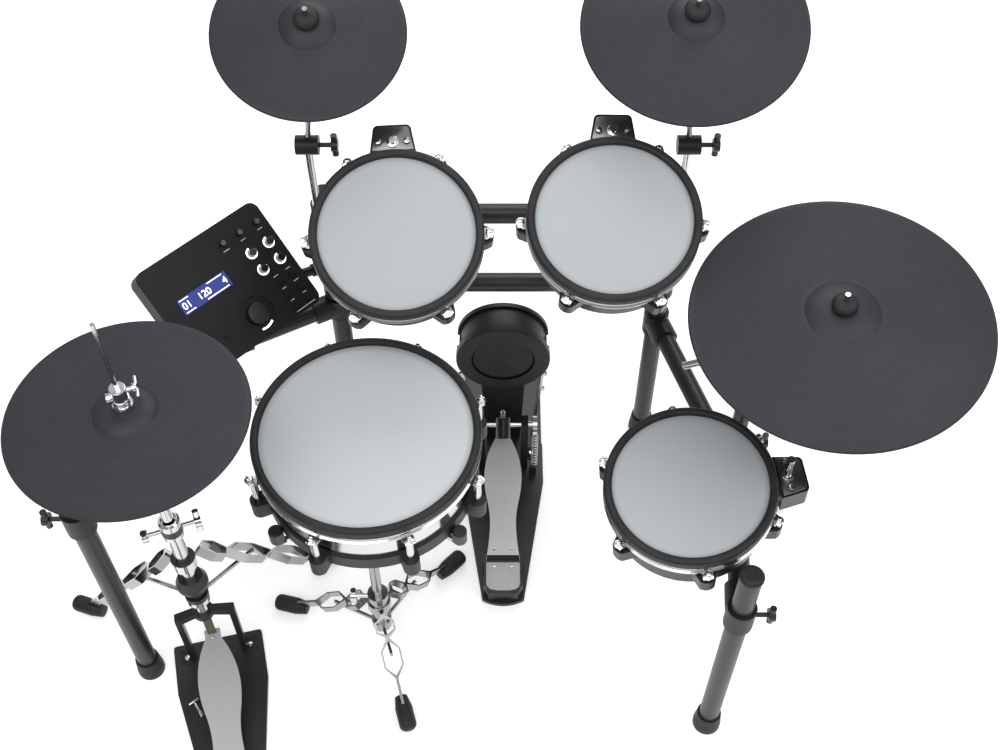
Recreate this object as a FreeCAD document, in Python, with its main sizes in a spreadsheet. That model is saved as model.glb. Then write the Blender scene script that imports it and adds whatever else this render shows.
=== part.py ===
import FreeCAD, Part
import math
import os
import Sketcher
from FreeCAD import Placement, Rotation, Vector

# Electronic drum kit on a tube rack, in millimetres. The player sits on the -Y side and looks
# along +Y, +X is the player's right and +Z is up. The origin is on the floor, under the middle
# of the kick tower's base plate, in the plane of the rack's two back posts.

doc = FreeCAD.newDocument("electronic_drum_kit")
sheet = doc.addObject("Spreadsheet::Sheet", "dims")

# Driving dimensions. Places are measured from the origin, angles are in degrees.
COMMON = dict(gap=0.3, overrun=3.0)

RACK = dict(
    tube_radius=18.0, tube_wall=2.0, rack_centre_x=-9.0, rack_half_span=305.0, post_top=700.0,
    bar_upper_z=652.0, bar_lower_z=470.0, rear_arm_z=359.0, front_arm_z=430.0, left_arm_z=410.0,
    left_front_z=545.0, elbow_x=-520.0, elbow_y=-110.0, elbow_base=376.0, elbow_top=584.0,
    left_leg_x=-667.0, left_leg_y=-561.0, right_leg_x=375.0, right_leg_y=-668.0, leg_top=552.0,
    left_leg_top=594.0,
    foot_radius=25.0, foot_neck=21.5, foot_height=46.0, foot_sole=12.0, cap_height=9.0,
    cap_lip=1.5, clamp_wall=6.0, clamp_length=52.0, clamp_reach=52.0, screw_radius=4.0,
    screw_head=11.0, screw_reach=20.0, wing_half=21.0, wing_radius=5.5, ride_post_x=404.0,
    ride_post_y=-335.0, ride_post_radius=14.0, ride_post_base=325.0, ride_post_top=640.0)

CYMBALS = dict(
    crash_left_radius=151.0, crash_left_x=-299.0, crash_left_y=4.0, crash_left_z=1040.0,
    crash_right_radius=178.0, crash_right_x=296.0, crash_right_y=34.0, crash_right_z=1030.0,
    ride_radius=228.5, ride_x=507.0, ride_y=-365.0, ride_z=796.0,
    crash_bell=44.0, ride_bell=57.0, bell_rise=13.0, bow_rise=22.0, cymbal_thickness=4.5,
    edge_roll=2.2, boss_radius=19.0, ball_radius=12.0, stud_radius=4.0, stud_hole=7.5,
    stud_above=33.0, tilter_drop=46.0, tilter_radius=11.0, tilter_half=13.0, ball_neck=7.0,
    holder_cap_radius=20.0, holder_cap_height=15.0, cap_float=3.6, boom_radius=6.5,
    pole_radius=7.0, rod_radius=5.0, pole_offset_x=6.0, pole_offset_y=-34.0, pole_base=556.0,
    pole_clamp_z=585.0, pole_clamp_length=38.0, pole_wall=5.0, knuckle_z=845.0,
    knuckle_radius=16.0, knuckle_half=19.0, boom_tail_x=296.0, boom_tail_y=-309.0,
    boom_tail_z=612.0)

TOMS = dict(
    tom1_x=-167.0, tom1_y=-215.0, tom1_z=827.0, tom2_x=172.0, tom2_y=-199.0, tom2_z=843.0,
    tom3_x=294.0, tom3_y=-512.0, tom3_z=567.0, tom_rim=137.0, tom_head=123.5, tom_shell=127.0,
    tom_wall=4.0, tom_depth=92.0, tom_floor=5.0, tom_lug_width=42.0, tom_lug_tip=24.0,
    tom_lug_out=26.0, tom_lug_length=30.0, tom_lug_drop=34.0, hoop_ear_width=19.0, hoop_ear_out=8.0,
    rim_up=8.0, rim_down=11.0, rim_lip=3.0,
    head_thickness=1.2, flesh_hoop=4.0, hoop_height=17.0, hoop_wall=3.5, hoop_step=5.0,
    tension_radius=3.2, box_wide=74.0, box_outer=62.0, box_corner=9.0, box_deep=46.0, box_tall=46.0,
    box_drop=20.0,
    tom_rod_radius=6.0, tom_rod_up=12.0, tom3_rod_up=60.0, neck_width=30.0, box_stand=2.0,
    sensor_radius=22.0,
    sensor_height=26.0, bridge_width=26.0, bridge_height=6.0, box_screw=5.0, box_screw_out=7.0,
    box_screw_spread=23.0, grip_length=40.0, grip_socket=12.0, grip_height=44.0, tom3_spin_angle=-50.4,
    tom1_tilt=27.0, tom1_turn=4.0, tom2_tilt=23.0, tom2_turn=-1.0, tom3_tilt=9.0, tom3_turn=-33.0)

SNARE = dict(
    snare_x=-220.0, snare_y=-431.0, snare_z=594.0, snare_rim=185.0, snare_head=171.5,
    snare_shell=174.0, snare_wall=4.0, snare_depth=88.0, snare_ring=179.0, lug_foot_rise=4.0,
    snare_tilt=3.0,
    snare_ring_height=36.0, snare_floor=5.0, lug_tube_radius=6.5, lug_tube_circle=192.5,
    lug_foot_radius=14.0, lug_angle=22.5,
    stand_x=-232.0, stand_y=-480.0, stand_tube_radius=13.0, stand_tube_base=28.0,
    stand_tube_top=150.0, stand_collar=19.0, stand_collar_height=24.0, stand_post_radius=9.5,
    stand_post_base=70.0, tilter_z=382.0, hub_drop=158.0, hub_radius=23.0,
    hub_height=22.0, basket_arm_radius=6.0, basket_elbow=150.0, basket_elbow_drop=160.0,
    hand_radius=12.0, hand_height=48.0, hand_drop=104.0, hand_lip=8.0, tilter_barrel=14.0,
    barrel_half=10.0, cheek=6.0, cheek_reach=30.0,
    foot_circle=218.0, strip_width=14.0, strip_thickness=2.6, strip_spread=36.0,
    leg_root_z=112.0, leg_collar=22.0, collar_height=24.0, brace_z=40.0, brace_reach=92.0,
    tip_radius=16.0, tip_length=66.0, tripod_turn=-74.0)

HIHAT = dict(
    hihat_x=-542.0, hihat_y=-530.0, hihat_z=779.0, hihat_radius=178.0, hihat_thickness=4.5,
    hihat_bell=48.0, hihat_rise=22.0, hihat_open=12.0, hat_hole=8.5, hat_tube_radius=12.5,
    hat_tube_base=170.0, hat_tube_top=470.0, hat_upper_radius=9.5,
    pull_rod_radius=3.4, pull_rod_top=985.0, clutch_radius=11.0, clutch_height=46.0,
    clutch_nut=15.0, clutch_nut_height=9.0, hat_seat_radius=24.0, hat_seat_height=10.0,
    hat_collar_radius=18.0, hat_collar_height=46.0, boot_radius=21.0, boot_height=44.0,
    boot_z=262.0, hat_leg_reach=312.0, hat_leg_root_z=358.0, hat_brace_z=236.0, hat_brace_reach=128.0,
    hat_strip_width=17.0, hat_spread=40.0, hat_lower_radius=166.0, boot_flare=28.0, hat_pedal_back=16.0,
    hat_leg_angle=57.3, hat_pedal_turn=13.6)

PEDALS = dict(
    plate_front=44.0, plate_knee=-56.0, heel_margin=8.0, heel_sag=11.0, plate_front_half=84.0,
    plate_back_half=41.0,
    plate_thickness=9.0, kick_plate_y=-92.0, axle_y=-8.0, toe_y=25.2, hinge_z=33.0, hinge_radius=6.0,
    board_length=280.0, board_thickness=7.0, board_toe_half=14.5, board_neck=18.0, board_wide_half=38.0,
    board_waist_half=26.0, board_angle=10.0, board_heel_half=33.0, heel_half=38.0, heel_length=80.0,
    pin_radius=3.0,
    axle_z=150.0, axle_radius=6.0, axle_half=56.0, post_half=44.0, post_width=14.0,
    post_depth=26.0, cam_radius=24.0, cam_half=8.0, beater_length=152.0, beater_lean_angle=38.0,
    beater_rod=4.0, beater_head_radius=13.5, beater_head_half=20.0, beater_clamp=11.0, hub_ring=17.0,
    hub_half=9.0, spring_x=69.0, spring_radius=7.0, spring_wire=1.5, spring_turns=11.0,
    spring_arm=22.0, spring_base_z=34.0, chain_width=7.0, chain_thick=4.0, yoke_half=54.0,
    yoke_bar=11.0, yoke_top=180.0, yoke_rise=14.0, strap_width=18.0, strap_thick=2.5)

KICK = dict(
    pad_y=-54.0, pad_z=300.0, pad_radius=92.0, pad_ring=30.0, pad_ring_depth=16.0,
    pad_depth=72.0, pad_can=84.0, pad_flange=90.0, pad_flange_depth=9.0, pad_recess=3.5,
    pad_face_thickness=9.0, tower_half_top=46.0, tower_half_base=37.0, tower_depth=34.0,
    tower_y=-12.0, base_half_x=82.0, base_back=150.0, base_thickness=8.0,
    base_corner=22.0, stay_half=62.0, stay_width=26.0, stay_thickness=5.0,
    stay_y=-14.0, stay_above=14.0, stay_screw=7.0, stay_screw_out=7.0)

MODULE = dict(
    module_x=-455.0, module_y=-189.0, module_z=668.0, module_width=248.0, module_depth=204.0,
    module_height=44.0, module_corner=16.0, module_tilt=38.0,
    module_turn=45.5, bracket_radius=9.0, bracket_plate=74.0, bracket_thickness=5.0,
    bracket_z=520.0, bracket_stem=52.0, hinge_drop=12.0, cheek_thickness=6.0, hinge_half=20.0,
    display_width=96.0, display_depth=28.0, display_proud=1.2, dial_radius=20.0,
    dial_height=12.0, dial_recess=31.0, dial_sink=3.0, knob_radius=7.2, knob_height=12.0,
    small_knob_radius=6.0,
    small_knob_height=10.0, button_width=11.0, button_depth=7.0, button_height=2.4,
    button_sink=3.0, button_root=1.5)


class Size:
    """A length or angle that carries its number and the sheet formula that it comes from."""

    def __init__(self, text, value):
        self.text, self.value = text, value

    def __float__(self):
        return float(self.value)

    def join(self, other, sign, value):
        text = other.text if isinstance(other, Size) else repr(other)
        return Size("(%s %s %s)" % (self.text, sign, text), value)

    def __add__(self, other):
        return self.join(other, "+", self.value + float(other))

    def __sub__(self, other):
        return self.join(other, "-", self.value - float(other))

    def __mul__(self, other):
        return self.join(other, "*", self.value * float(other))

    def __truediv__(self, other):
        return self.join(other, "/", self.value / float(other))

    def __neg__(self):
        return Size("(-%s)" % self.text, -self.value)

    def __rsub__(self, other):
        return -self + other

    __rmul__ = __mul__
    __radd__ = __add__

    def root(self):
        return Size("sqrt(%s)" % self.text, math.sqrt(self.value))


class Sizes:
    pass


def fill_sheet(tables):
    """Write every driving dimension to the sheet and hand them back as attributes."""
    sizes = Sizes()
    row = 0
    for table in tables:
        for name, value in table.items():
            row += 1
            sheet.set("A%d" % row, name)
            sheet.set("B%d" % row, repr(value))
            sheet.setAlias("B%d" % row, name)
            setattr(sizes, name, Size("dims." + name, value))
    doc.recompute()
    return sizes


d = fill_sheet((COMMON, RACK, CYMBALS, TOMS, SNARE, HIHAT, PEDALS, KICK, MODULE))
FULL_TURN = 360.0
QUARTER_ROUND_SHARE = 0.293
CAP_SHARE, HEM_SHARE, BOW_SAG_SHARE = 0.85, 2.2, 0.36
BELL_TOP_SHARE, BELL_SIDE_SHARE, BELL_FALL_SHARE = 0.35, 0.76, 0.42
DOME_TIP_SHARE, DOME_SIDE_SHARE, DOME_RISE_SHARE = 0.62, 0.9, 0.6
HAT_WAIST_SHARE, HAT_SAG_SHARE = 0.55, 0.62
HAT_TOP_SHARE, HAT_SIDE_SHARE, HAT_RISE_SHARE = 0.45, 0.8, 0.86
BOOT_SHARE, ROLLER_SHARE, KNOB_TOP_SHARE = 0.6, 0.7, 0.9
STAY_SCREW_SHARES = (0.5, 0.66)
HAT_SCREW_ANGLES = (200.0, 20.0)
WORLD = Placement()
UP = Vector(0, 0, 1)
nodes = []


# Helpers: each makes one document object whose sizes follow the sheet.

def point(p):
    return Vector(float(p[0]), float(p[1]), float(p[2]))


def shift(p, q, sign=1):
    return tuple(a + b if sign > 0 else a - b for a, b in zip(p, q))


def frame(origin, tilt=0, turn=0):
    """A local frame whose Z leans towards the player by tilt and is then turned about Z."""
    turned = Rotation(UP, float(turn)).multiply(Rotation(Vector(1, 0, 0), float(tilt)))
    return Placement(point(origin), turned)


def in_world(place, p):
    return place.multVec(point(p))


def span(p, q):
    """The distance between two points as one formula."""
    parts = [b - a for a, b in zip(p, q)]
    squares = [x * x for x in parts if isinstance(x, Size)]
    total = squares[0]
    for square in squares[1:]:
        total = total + square
    return total.root()


def set_sizes(obj, **sizes):
    for prop, size in sizes.items():
        obj.setExpression(prop, size.text)
    return obj


def cylinder(name, radius, p, q, at=WORLD):
    obj = doc.addObject("Part::Cylinder", name)
    set_sizes(obj, Radius=radius, Height=span(p, q))
    axis = point(q) - point(p)
    obj.Placement = at.multiply(Placement(point(p), Rotation(UP, axis)))
    return obj


def ball(name, radius, p, at=WORLD):
    obj = set_sizes(doc.addObject("Part::Sphere", name), Radius=radius)
    obj.Placement = at.multiply(Placement(point(p), Rotation()))
    return obj


def box(name, size, centre, at=WORLD, axis=None):
    """A block about its centre; axis turns its local Z."""
    obj = doc.addObject("Part::Box", name)
    set_sizes(obj, Length=size[0], Width=size[1], Height=size[2])
    local = Placement(point(centre), Rotation(UP, axis) if axis else Rotation())
    corner = Placement(point([-float(s) / 2 for s in size]), Rotation())
    obj.Placement = at.multiply(local).multiply(corner)
    return obj


def cut(name, base, *tools):
    tool = tools[0] if len(tools) == 1 else fuse(name + "_tools", *tools)
    obj = doc.addObject("Part::Cut", name)
    obj.Base, obj.Tool = base, tool
    return obj


def fuse(name, *pieces):
    obj = doc.addObject("Part::MultiFuse", name)
    obj.Shapes = list(pieces)
    return obj


def tube(name, outer, wall, p, q, at=WORLD):
    return cut(name, cylinder(name + "_outer", outer, p, q, at),
               cylinder(name + "_bore", outer - wall, p, q, at))


def origin_plane(body, role):
    return [f for f in body.Origin.OriginFeatures if f.Role == role][0]


def draw(body, role, corners):
    """A closed outline in a body's own plane. A corner is (u, v), or (u, v, via_u, via_v) when
    an arc through the via point leads to it; every place is held by a formula from the sheet."""
    sketch = body.newObject("Sketcher::SketchObject", body.Name + "_outline")
    sketch.AttachmentSupport = [(origin_plane(body, role), "")]
    sketch.MapMode = "FlatFace"
    flat = [Vector(float(c[0]), float(c[1]), 0) for c in corners]
    ends = []
    for i, start in enumerate(flat):
        after = corners[(i + 1) % len(corners)]
        finish = flat[(i + 1) % len(flat)]
        if len(after) == 4:
            via = Vector(float(after[2]), float(after[3]), 0)
            geo = sketch.addGeometry(Part.Arc(start, via, finish), False)
            ahead = sketch.getPoint(geo, 1).distanceToPoint(start) < start.distanceToPoint(finish) / 2
            ends.append((geo, 1, 2) if ahead else (geo, 2, 1))
        else:
            ends.append((sketch.addGeometry(Part.LineSegment(start, finish), False), 1, 2))
    for i, (geo, first, last) in enumerate(ends):
        following = ends[(i + 1) % len(ends)]
        sketch.addConstraint(Sketcher.Constraint("Coincident", geo, last, following[0], following[1]))
        hold(sketch, geo, first, corners[i][:2])
        after = corners[(i + 1) % len(corners)]
        if len(after) == 4:
            via = Vector(float(after[2]), float(after[3]), 0)
            mark = sketch.addGeometry(Part.Point(via), True)
            hold(sketch, mark, 1, after[2:])
            sketch.addConstraint(Sketcher.Constraint("PointOnObject", mark, 1, geo))
    return sketch


def hold(sketch, geo, end, place):
    for kind, axis, size in (("DistanceX", -2, place[0]), ("DistanceY", -1, place[1])):
        if isinstance(size, Size):
            index = sketch.addConstraint(Sketcher.Constraint(kind, -1, 1, geo, end, float(size)))
            sketch.setExpression("Constraints[%d]" % index, size.text)
        else:
            sketch.addConstraint(Sketcher.Constraint("PointOnObject", geo, end, axis))


def turned(name, profile, at=WORLD):
    """A body of revolution about its local Z from a closed (radius, height) outline."""
    body = doc.addObject("PartDesign::Body", name)
    sketch = draw(body, "XZ_Plane", profile)
    feature = body.newObject("PartDesign::Revolution", name + "_turn")
    feature.Profile = sketch
    feature.ReferenceAxis = (sketch, ["V_Axis"])
    body.Placement = at
    return body


def plate(name, outline, thickness, at=WORLD, role="XY_Plane", middle=False):
    """A flat outline given a thickness along its plane's normal."""
    body = doc.addObject("PartDesign::Body", name)
    sketch = draw(body, role, outline)
    feature = body.newObject("PartDesign::Pad", name + "_pad")
    feature.Profile = sketch
    set_sizes(feature, Length=thickness)
    feature.Midplane = middle
    body.Placement = at
    return body


def ring(inner, outer, low, high):
    return [(inner, low), (outer, low), (outer, high), (inner, high)]


def node(name, *pieces):
    """Register a named sub-part: one solid, or a group of separate solids."""
    if len(pieces) == 1:
        obj = pieces[0]
    else:
        obj = doc.addObject("Part::Compound", name + "_group")
        obj.Links = list(pieces)
    obj.Label = name
    nodes.append(obj)
    return obj


# Rack: four tube legs, two crossbars at the back, side arms, clamps and their wing screws.

left_post = (d.rack_centre_x - d.rack_half_span, 0)
right_post = (d.rack_centre_x + d.rack_half_span, 0)
left_leg = (d.left_leg_x, d.left_leg_y)
right_leg = (d.right_leg_x, d.right_leg_y)
ride_post = (d.ride_post_x, d.ride_post_y)
elbow = (d.elbow_x, d.elbow_y)
clamps, screws = [], []
CROSSWISE_SHARE = 0.3


def rack_leg(name, foot, top):
    """One leg tube with its rubber foot and its end cap."""
    x, y = foot
    leg = tube(name, d.tube_radius, d.tube_wall, (x, y, d.foot_sole), (x, y, top))
    inner = d.tube_radius + d.gap
    rubber = turned(name + "_foot", [
        (0, 0), (d.foot_radius - d.cap_lip, 0), (d.foot_radius, d.cap_lip),
        (d.foot_radius, d.foot_sole), (d.foot_neck, d.foot_height), (inner, d.foot_height),
        (inner, d.foot_sole), (0, d.foot_sole)], frame((x, y, 0)))
    cap_edge = d.tube_radius + d.cap_lip
    cap = turned(name + "_cap", [
        (0, 0), (cap_edge, 0), (cap_edge, d.cap_height / 2),
        (d.tube_radius / 2, d.cap_height, d.tube_radius - d.cap_lip, d.cap_height * CAP_SHARE),
        (0, d.cap_height)], frame((x, y, top)))
    return leg, rubber, cap


def wing_screw(name, seat, away, reach=None):
    """A hand screw standing out of a clamp at seat, along away: shank, boss and wing bar."""
    place = Placement(point(seat), Rotation(UP, point(away)))
    reach = reach or d.screw_reach
    shank = cylinder(name + "_shank", d.screw_radius, (0, 0, 0), (0, 0, reach), place)
    boss = cylinder(name + "_boss", d.screw_head, (0, 0, reach), (0, 0, reach + d.screw_head), place)
    middle = reach + d.screw_head / 2
    bar = cylinder(name + "_bar", d.wing_radius, (-d.wing_half, 0, middle), (d.wing_half, 0, middle),
                   place)
    screws.append(fuse(name, shank, boss, bar))


def unit(p, q):
    return (point(q) - point(p)).normalize()


def along(p, direction, size):
    """A point at a given distance from p along a unit direction."""
    return tuple(a + size * b for a, b in zip(p, direction))


def tee_clamp(name, centre, post_radius, toward, arm_radius, screw_side):
    """A sleeve round an upright with a second sleeve that takes the end of an arm."""
    low = (centre[0], centre[1], centre[2] - d.clamp_length / 2)
    high = (centre[0], centre[1], centre[2] + d.clamp_length / 2)
    far = along(centre, toward, d.clamp_reach)
    past = along(centre, toward, d.clamp_reach + d.overrun)
    butt = along(centre, toward, post_radius + d.gap)
    sleeve = fuse(name + "_sleeves",
                  cylinder(name + "_post", post_radius + d.clamp_wall, low, high),
                  cylinder(name + "_arm", arm_radius + d.clamp_wall, centre, far))
    clamps.append(cut(name, sleeve,
                      cylinder(name + "_post_bore", post_radius + d.gap,
                               shift(low, (0, 0, -d.overrun)), shift(high, (0, 0, d.overrun))),
                      cylinder(name + "_arm_bore", arm_radius + d.gap, butt, past)))
    crosswise = toward.dot(screw_side) > -CROSSWISE_SHARE
    widest = d.tube_radius if crosswise else post_radius
    seat = along(centre, screw_side, widest + d.clamp_wall + d.gap * 2)
    wing_screw(name + "_screw", seat, screw_side)
    return butt


def arm(name, start, post_radius, finish, end_radius, screw_start, screw_finish):
    """A tube between two uprights, held in a clamp at each end."""
    way = unit(start, finish)
    back = Vector(-way.x, -way.y, -way.z)
    first = tee_clamp(name + "_clamp_a", start, post_radius, way, d.tube_radius, screw_start)
    last = tee_clamp(name + "_clamp_b", finish, end_radius, back, d.tube_radius, screw_finish)
    inset = d.gap + d.gap
    return tube(name, d.tube_radius, d.tube_wall, along(first, way, inset), along(last, back, inset))


def build_rack():
    places = (("post_left", left_post, d.post_top), ("post_right", right_post, d.post_top),
              ("leg_left", left_leg, d.left_leg_top), ("leg_right", right_leg, d.leg_top))
    legs = [rack_leg(*place) for place in places]
    foot, top = ride_post + (d.ride_post_base,), ride_post + (d.ride_post_top,)
    upright = tube("ride_post", d.ride_post_radius, d.tube_wall, foot, top)
    stub = tube("elbow_post", d.ride_post_radius, d.tube_wall, elbow + (d.elbow_base,),
                elbow + (d.elbow_top,))
    node("rack_legs", upright, stub, *[leg[0] for leg in legs])
    node("rack_feet", *[leg[1] for leg in legs], *[leg[2] for leg in legs])
    rear, outer_left, outer_right = Vector(0, 1, 0), Vector(-1, 0, 0), Vector(1, 0, 0)
    bars = []
    for name, z in (("bar_upper", d.bar_upper_z), ("bar_lower", d.bar_lower_z)):
        bars.append(arm(name, left_post + (z,), d.tube_radius, right_post + (z,), d.tube_radius,
                        rear, rear))
    bars.append(arm("arm_left", left_post + (d.left_arm_z,), d.tube_radius,
                    elbow + (d.left_arm_z,), d.ride_post_radius, rear, outer_left))
    bars.append(arm("arm_left_front", elbow + (d.left_front_z,), d.ride_post_radius,
                    left_leg + (d.left_front_z,), d.tube_radius, rear, outer_left))
    bars.append(arm("arm_rear", right_post + (d.rear_arm_z,), d.tube_radius,
                    ride_post + (d.rear_arm_z,), d.ride_post_radius, rear, outer_right))
    bars.append(arm("arm_front", ride_post + (d.front_arm_z,), d.ride_post_radius,
                    right_leg + (d.front_arm_z,), d.tube_radius, outer_right, outer_right))
    node("rack_bars", *bars)


# Cymbals: each rocks on a ball under its bell, held by a stud with a dome cap above.

def lean(normal_tilt, normal_turn):
    """The unit vector of a frame's Z."""
    return frame((0, 0, 0), normal_tilt, normal_turn).Rotation.multVec(UP)


CRASH_LEFT_TILT, CRASH_LEFT_TURN = 22.0, 8.0
CRASH_RIGHT_TILT, CRASH_RIGHT_TURN = 19.0, -7.0
RIDE_TILT, RIDE_TURN = 7.0, -31.0
poles, holders = [], []


def cymbal(name, radius, bell, at):
    """A bowed disc with a raised bell and, underneath, a boss hollowed to sit on the ball."""
    top = d.ball_radius + d.cymbal_thickness
    edge = top - d.bell_rise - d.bow_rise
    cup = d.ball_radius + d.gap
    rest = (cup * cup - d.stud_hole * d.stud_hole).root()
    hem = (cup * cup - d.ball_neck * d.ball_neck * HEM_SHARE).root()
    mouth = (cup * cup - hem * hem).root()
    waist = top - d.bell_rise
    middle = (radius + bell) / 2
    sag = (waist - edge) * BOW_SAG_SHARE
    belly = (rest + hem) / 2
    profile = [
        (d.stud_hole, rest, (cup * cup - belly * belly).root(), belly),
        (d.stud_hole, top), (bell * BELL_TOP_SHARE, top),
        (bell, waist, bell * BELL_SIDE_SHARE, top - d.bell_rise * BELL_FALL_SHARE),
        (radius - d.edge_roll, edge + d.edge_roll, middle, waist - sag),
        (radius, edge), (radius - d.edge_roll, edge - d.edge_roll),
        (bell, waist - d.cymbal_thickness, middle, waist - sag - d.cymbal_thickness),
        (d.boss_radius, waist - d.cymbal_thickness), (d.boss_radius, hem), (mouth, hem)]
    return node(name, turned(name, profile, at))


def cymbal_holder(name, at):
    """Ball seat on a neck, stud, tilter and the dome cap on top."""
    top = d.ball_radius + d.cymbal_thickness
    low = -d.tilter_drop + d.tilter_radius
    seat = cut(name + "_seat", fuse(
        name + "_seat_solid", ball(name + "_ball", d.ball_radius, (0, 0, 0), at),
        cylinder(name + "_neck", d.ball_neck, (0, 0, low + d.gap), (0, 0, -d.ball_neck), at)),
        cylinder(name + "_seat_bore", d.stud_radius + d.gap, (0, 0, -d.tilter_drop),
                 (0, 0, d.ball_radius + d.overrun), at))
    base = top + d.cap_float
    bore = d.stud_radius + d.gap
    tip = base + d.holder_cap_height
    cap = turned(name + "_cap", [
        (bore, base), (d.holder_cap_radius - d.edge_roll, base),
        (d.holder_cap_radius, base + d.edge_roll),
        (d.holder_cap_radius * DOME_TIP_SHARE, tip - d.edge_roll,
         d.holder_cap_radius * DOME_SIDE_SHARE, base + d.holder_cap_height * DOME_RISE_SHARE),
        (bore, tip)], at)
    holders.extend([seat, cap])
    stud = cylinder(name + "_stud", d.stud_radius, (0, 0, -d.tilter_drop), (0, 0, top + d.stud_above), at)
    tilter = cylinder(name + "_tilter", d.tilter_radius, (-d.tilter_half, 0, -d.tilter_drop),
                      (d.tilter_half, 0, -d.tilter_drop), at)
    return stud, tilter


def cymbal_pivot(x, y, z, tilt, turn):
    """The ball's centre: above the rim's plane by the height of bell and bow."""
    way = lean(tilt, turn)
    lift = d.bell_rise + d.bow_rise - d.ball_radius - d.cymbal_thickness
    return along((x, y, z), way, lift)


def build_crash(name, radius, centre, post, side, tilt, turn):
    pivot = cymbal_pivot(*centre, tilt, turn)
    at = frame(pivot, tilt, turn)
    cymbal(name, radius, d.crash_bell, at)
    stud, tilter = cymbal_holder(name, at)
    joint = along(pivot, lean(tilt, turn), -d.tilter_drop)
    base = (post[0] + d.pole_offset_x * side, post[1] + d.pole_offset_y, d.pole_base)
    knuckle = base[:2] + (d.knuckle_z,)
    way = unit(knuckle, joint)
    poles.append(cylinder(name + "_pole", d.pole_radius, base, knuckle))
    start = along(knuckle, way, d.pole_radius)
    poles.append(fuse(name + "_rod", cylinder(name + "_upper", d.rod_radius, start, joint), stud, tilter))
    grip = Vector(1, 0, 0)
    body = cylinder(name + "_knuckle_solid", d.knuckle_radius, along(knuckle, grip, -d.knuckle_half),
                    along(knuckle, grip, d.knuckle_half))
    clamps.append(cut(name + "_knuckle", body,
                      cylinder(name + "_knuckle_low", d.pole_radius + d.gap,
                               shift(knuckle, (0, 0, -d.knuckle_radius - d.overrun)),
                               shift(knuckle, (0, 0, d.gap))),
                      cylinder(name + "_knuckle_high", d.rod_radius + d.gap, knuckle,
                               along(knuckle, way, d.knuckle_radius + d.overrun))))
    wing_screw(name + "_knuckle_screw", along(knuckle, grip, d.knuckle_half), grip)
    hold_at = base[:2] + (d.pole_clamp_z,)
    half = d.pole_clamp_length / 2
    post_at = post + (d.pole_clamp_z,)
    solid = fuse(name + "_grip_solid",
                 cylinder(name + "_grip_post", d.tube_radius + d.clamp_wall,
                          shift(post_at, (0, 0, -half)),
                          shift(post_at, (0, 0, half))),
                 cylinder(name + "_grip_pole", d.pole_radius + d.pole_wall, shift(hold_at, (0, 0, -half)),
                          shift(hold_at, (0, 0, half))))
    ends = half + d.overrun
    clamps.append(cut(name + "_grip", solid,
                      cylinder(name + "_grip_post_bore", d.tube_radius + d.gap,
                               shift(post_at, (0, 0, -ends)), shift(post_at, (0, 0, ends))),
                      cylinder(name + "_grip_pole_bore", d.pole_radius + d.gap,
                               shift(hold_at, (0, 0, -ends)),
                               shift(hold_at, (0, 0, ends)))))
    rear = Vector(0, 1, 0)
    wing_screw(name + "_grip_screw", along(post_at, rear, d.tube_radius + d.clamp_wall), rear)


def build_ride():
    centre = (d.ride_x, d.ride_y, d.ride_z)
    pivot = cymbal_pivot(*centre, RIDE_TILT, RIDE_TURN)
    at = frame(pivot, RIDE_TILT, RIDE_TURN)
    cymbal("ride", d.ride_radius, d.ride_bell, at)
    stud, tilter = cymbal_holder("ride", at)
    joint = along(pivot, lean(RIDE_TILT, RIDE_TURN), -d.tilter_drop)
    tail = (d.boom_tail_x, d.boom_tail_y, d.boom_tail_z)
    boom = cylinder("ride_boom", d.boom_radius, tail, joint)
    poles.append(fuse("ride_rod", boom, stud, tilter))
    top = ride_post + (d.ride_post_top,)
    way = unit(tail, joint)
    near = along(tail, way, (d.ride_post_x - d.boom_tail_x) / way.x)
    grip = Vector(way.y, -way.x, 0).normalize()
    solid = fuse("ride_knuckle_solid",
                 cylinder("ride_knuckle_barrel", d.knuckle_radius, along(near, grip, -d.knuckle_half),
                          along(near, grip, d.knuckle_half)),
                 cylinder("ride_knuckle_socket", d.ride_post_radius + d.pole_wall,
                          shift(top, (0, 0, -d.knuckle_half)), ride_post + (near[2],)))
    clamps.append(cut("ride_knuckle", solid,
                      cylinder("ride_knuckle_bore", d.boom_radius + d.gap,
                               along(near, way, -d.clamp_length),
                               along(near, way, d.clamp_length)),
                      cylinder("ride_knuckle_seat", d.ride_post_radius + d.gap,
                               shift(top, (0, 0, -d.clamp_length)), shift(top, (0, 0, d.gap)))))
    wing_screw("ride_knuckle_screw", along(near, grip, d.knuckle_half), grip)


build_rack()
build_crash("crash_left", d.crash_left_radius, (d.crash_left_x, d.crash_left_y, d.crash_left_z),
            left_post, -1, CRASH_LEFT_TILT, CRASH_LEFT_TURN)
build_crash("crash_right", d.crash_right_radius, (d.crash_right_x, d.crash_right_y, d.crash_right_z),
            right_post, 1, CRASH_RIGHT_TILT, CRASH_RIGHT_TURN)
build_ride()


# Drums: a cupped shell, a mesh head, a plated hoop and a rubber rim over the hoop.

TOM_LUGS, SNARE_LUGS = 6, 8
ROD_SHARE = 0.36
BEND_SHARE = 1.02
SEAM_ANGLE = 35.0


def flesh_radius(shell):
    return shell + d.gap + d.flesh_hoop


def drum_head(name, shell, at):
    """The mesh with the flesh hoop that hangs round the shell's edge."""
    outer = flesh_radius(shell)
    low = d.head_thickness + d.flesh_hoop + d.flesh_hoop
    return node(name, turned(name, [
        (0, -d.head_thickness), (shell + d.gap, -d.head_thickness), (shell + d.gap, -low),
        (outer, -low), (outer, 0), (0, 0)], at))


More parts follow.
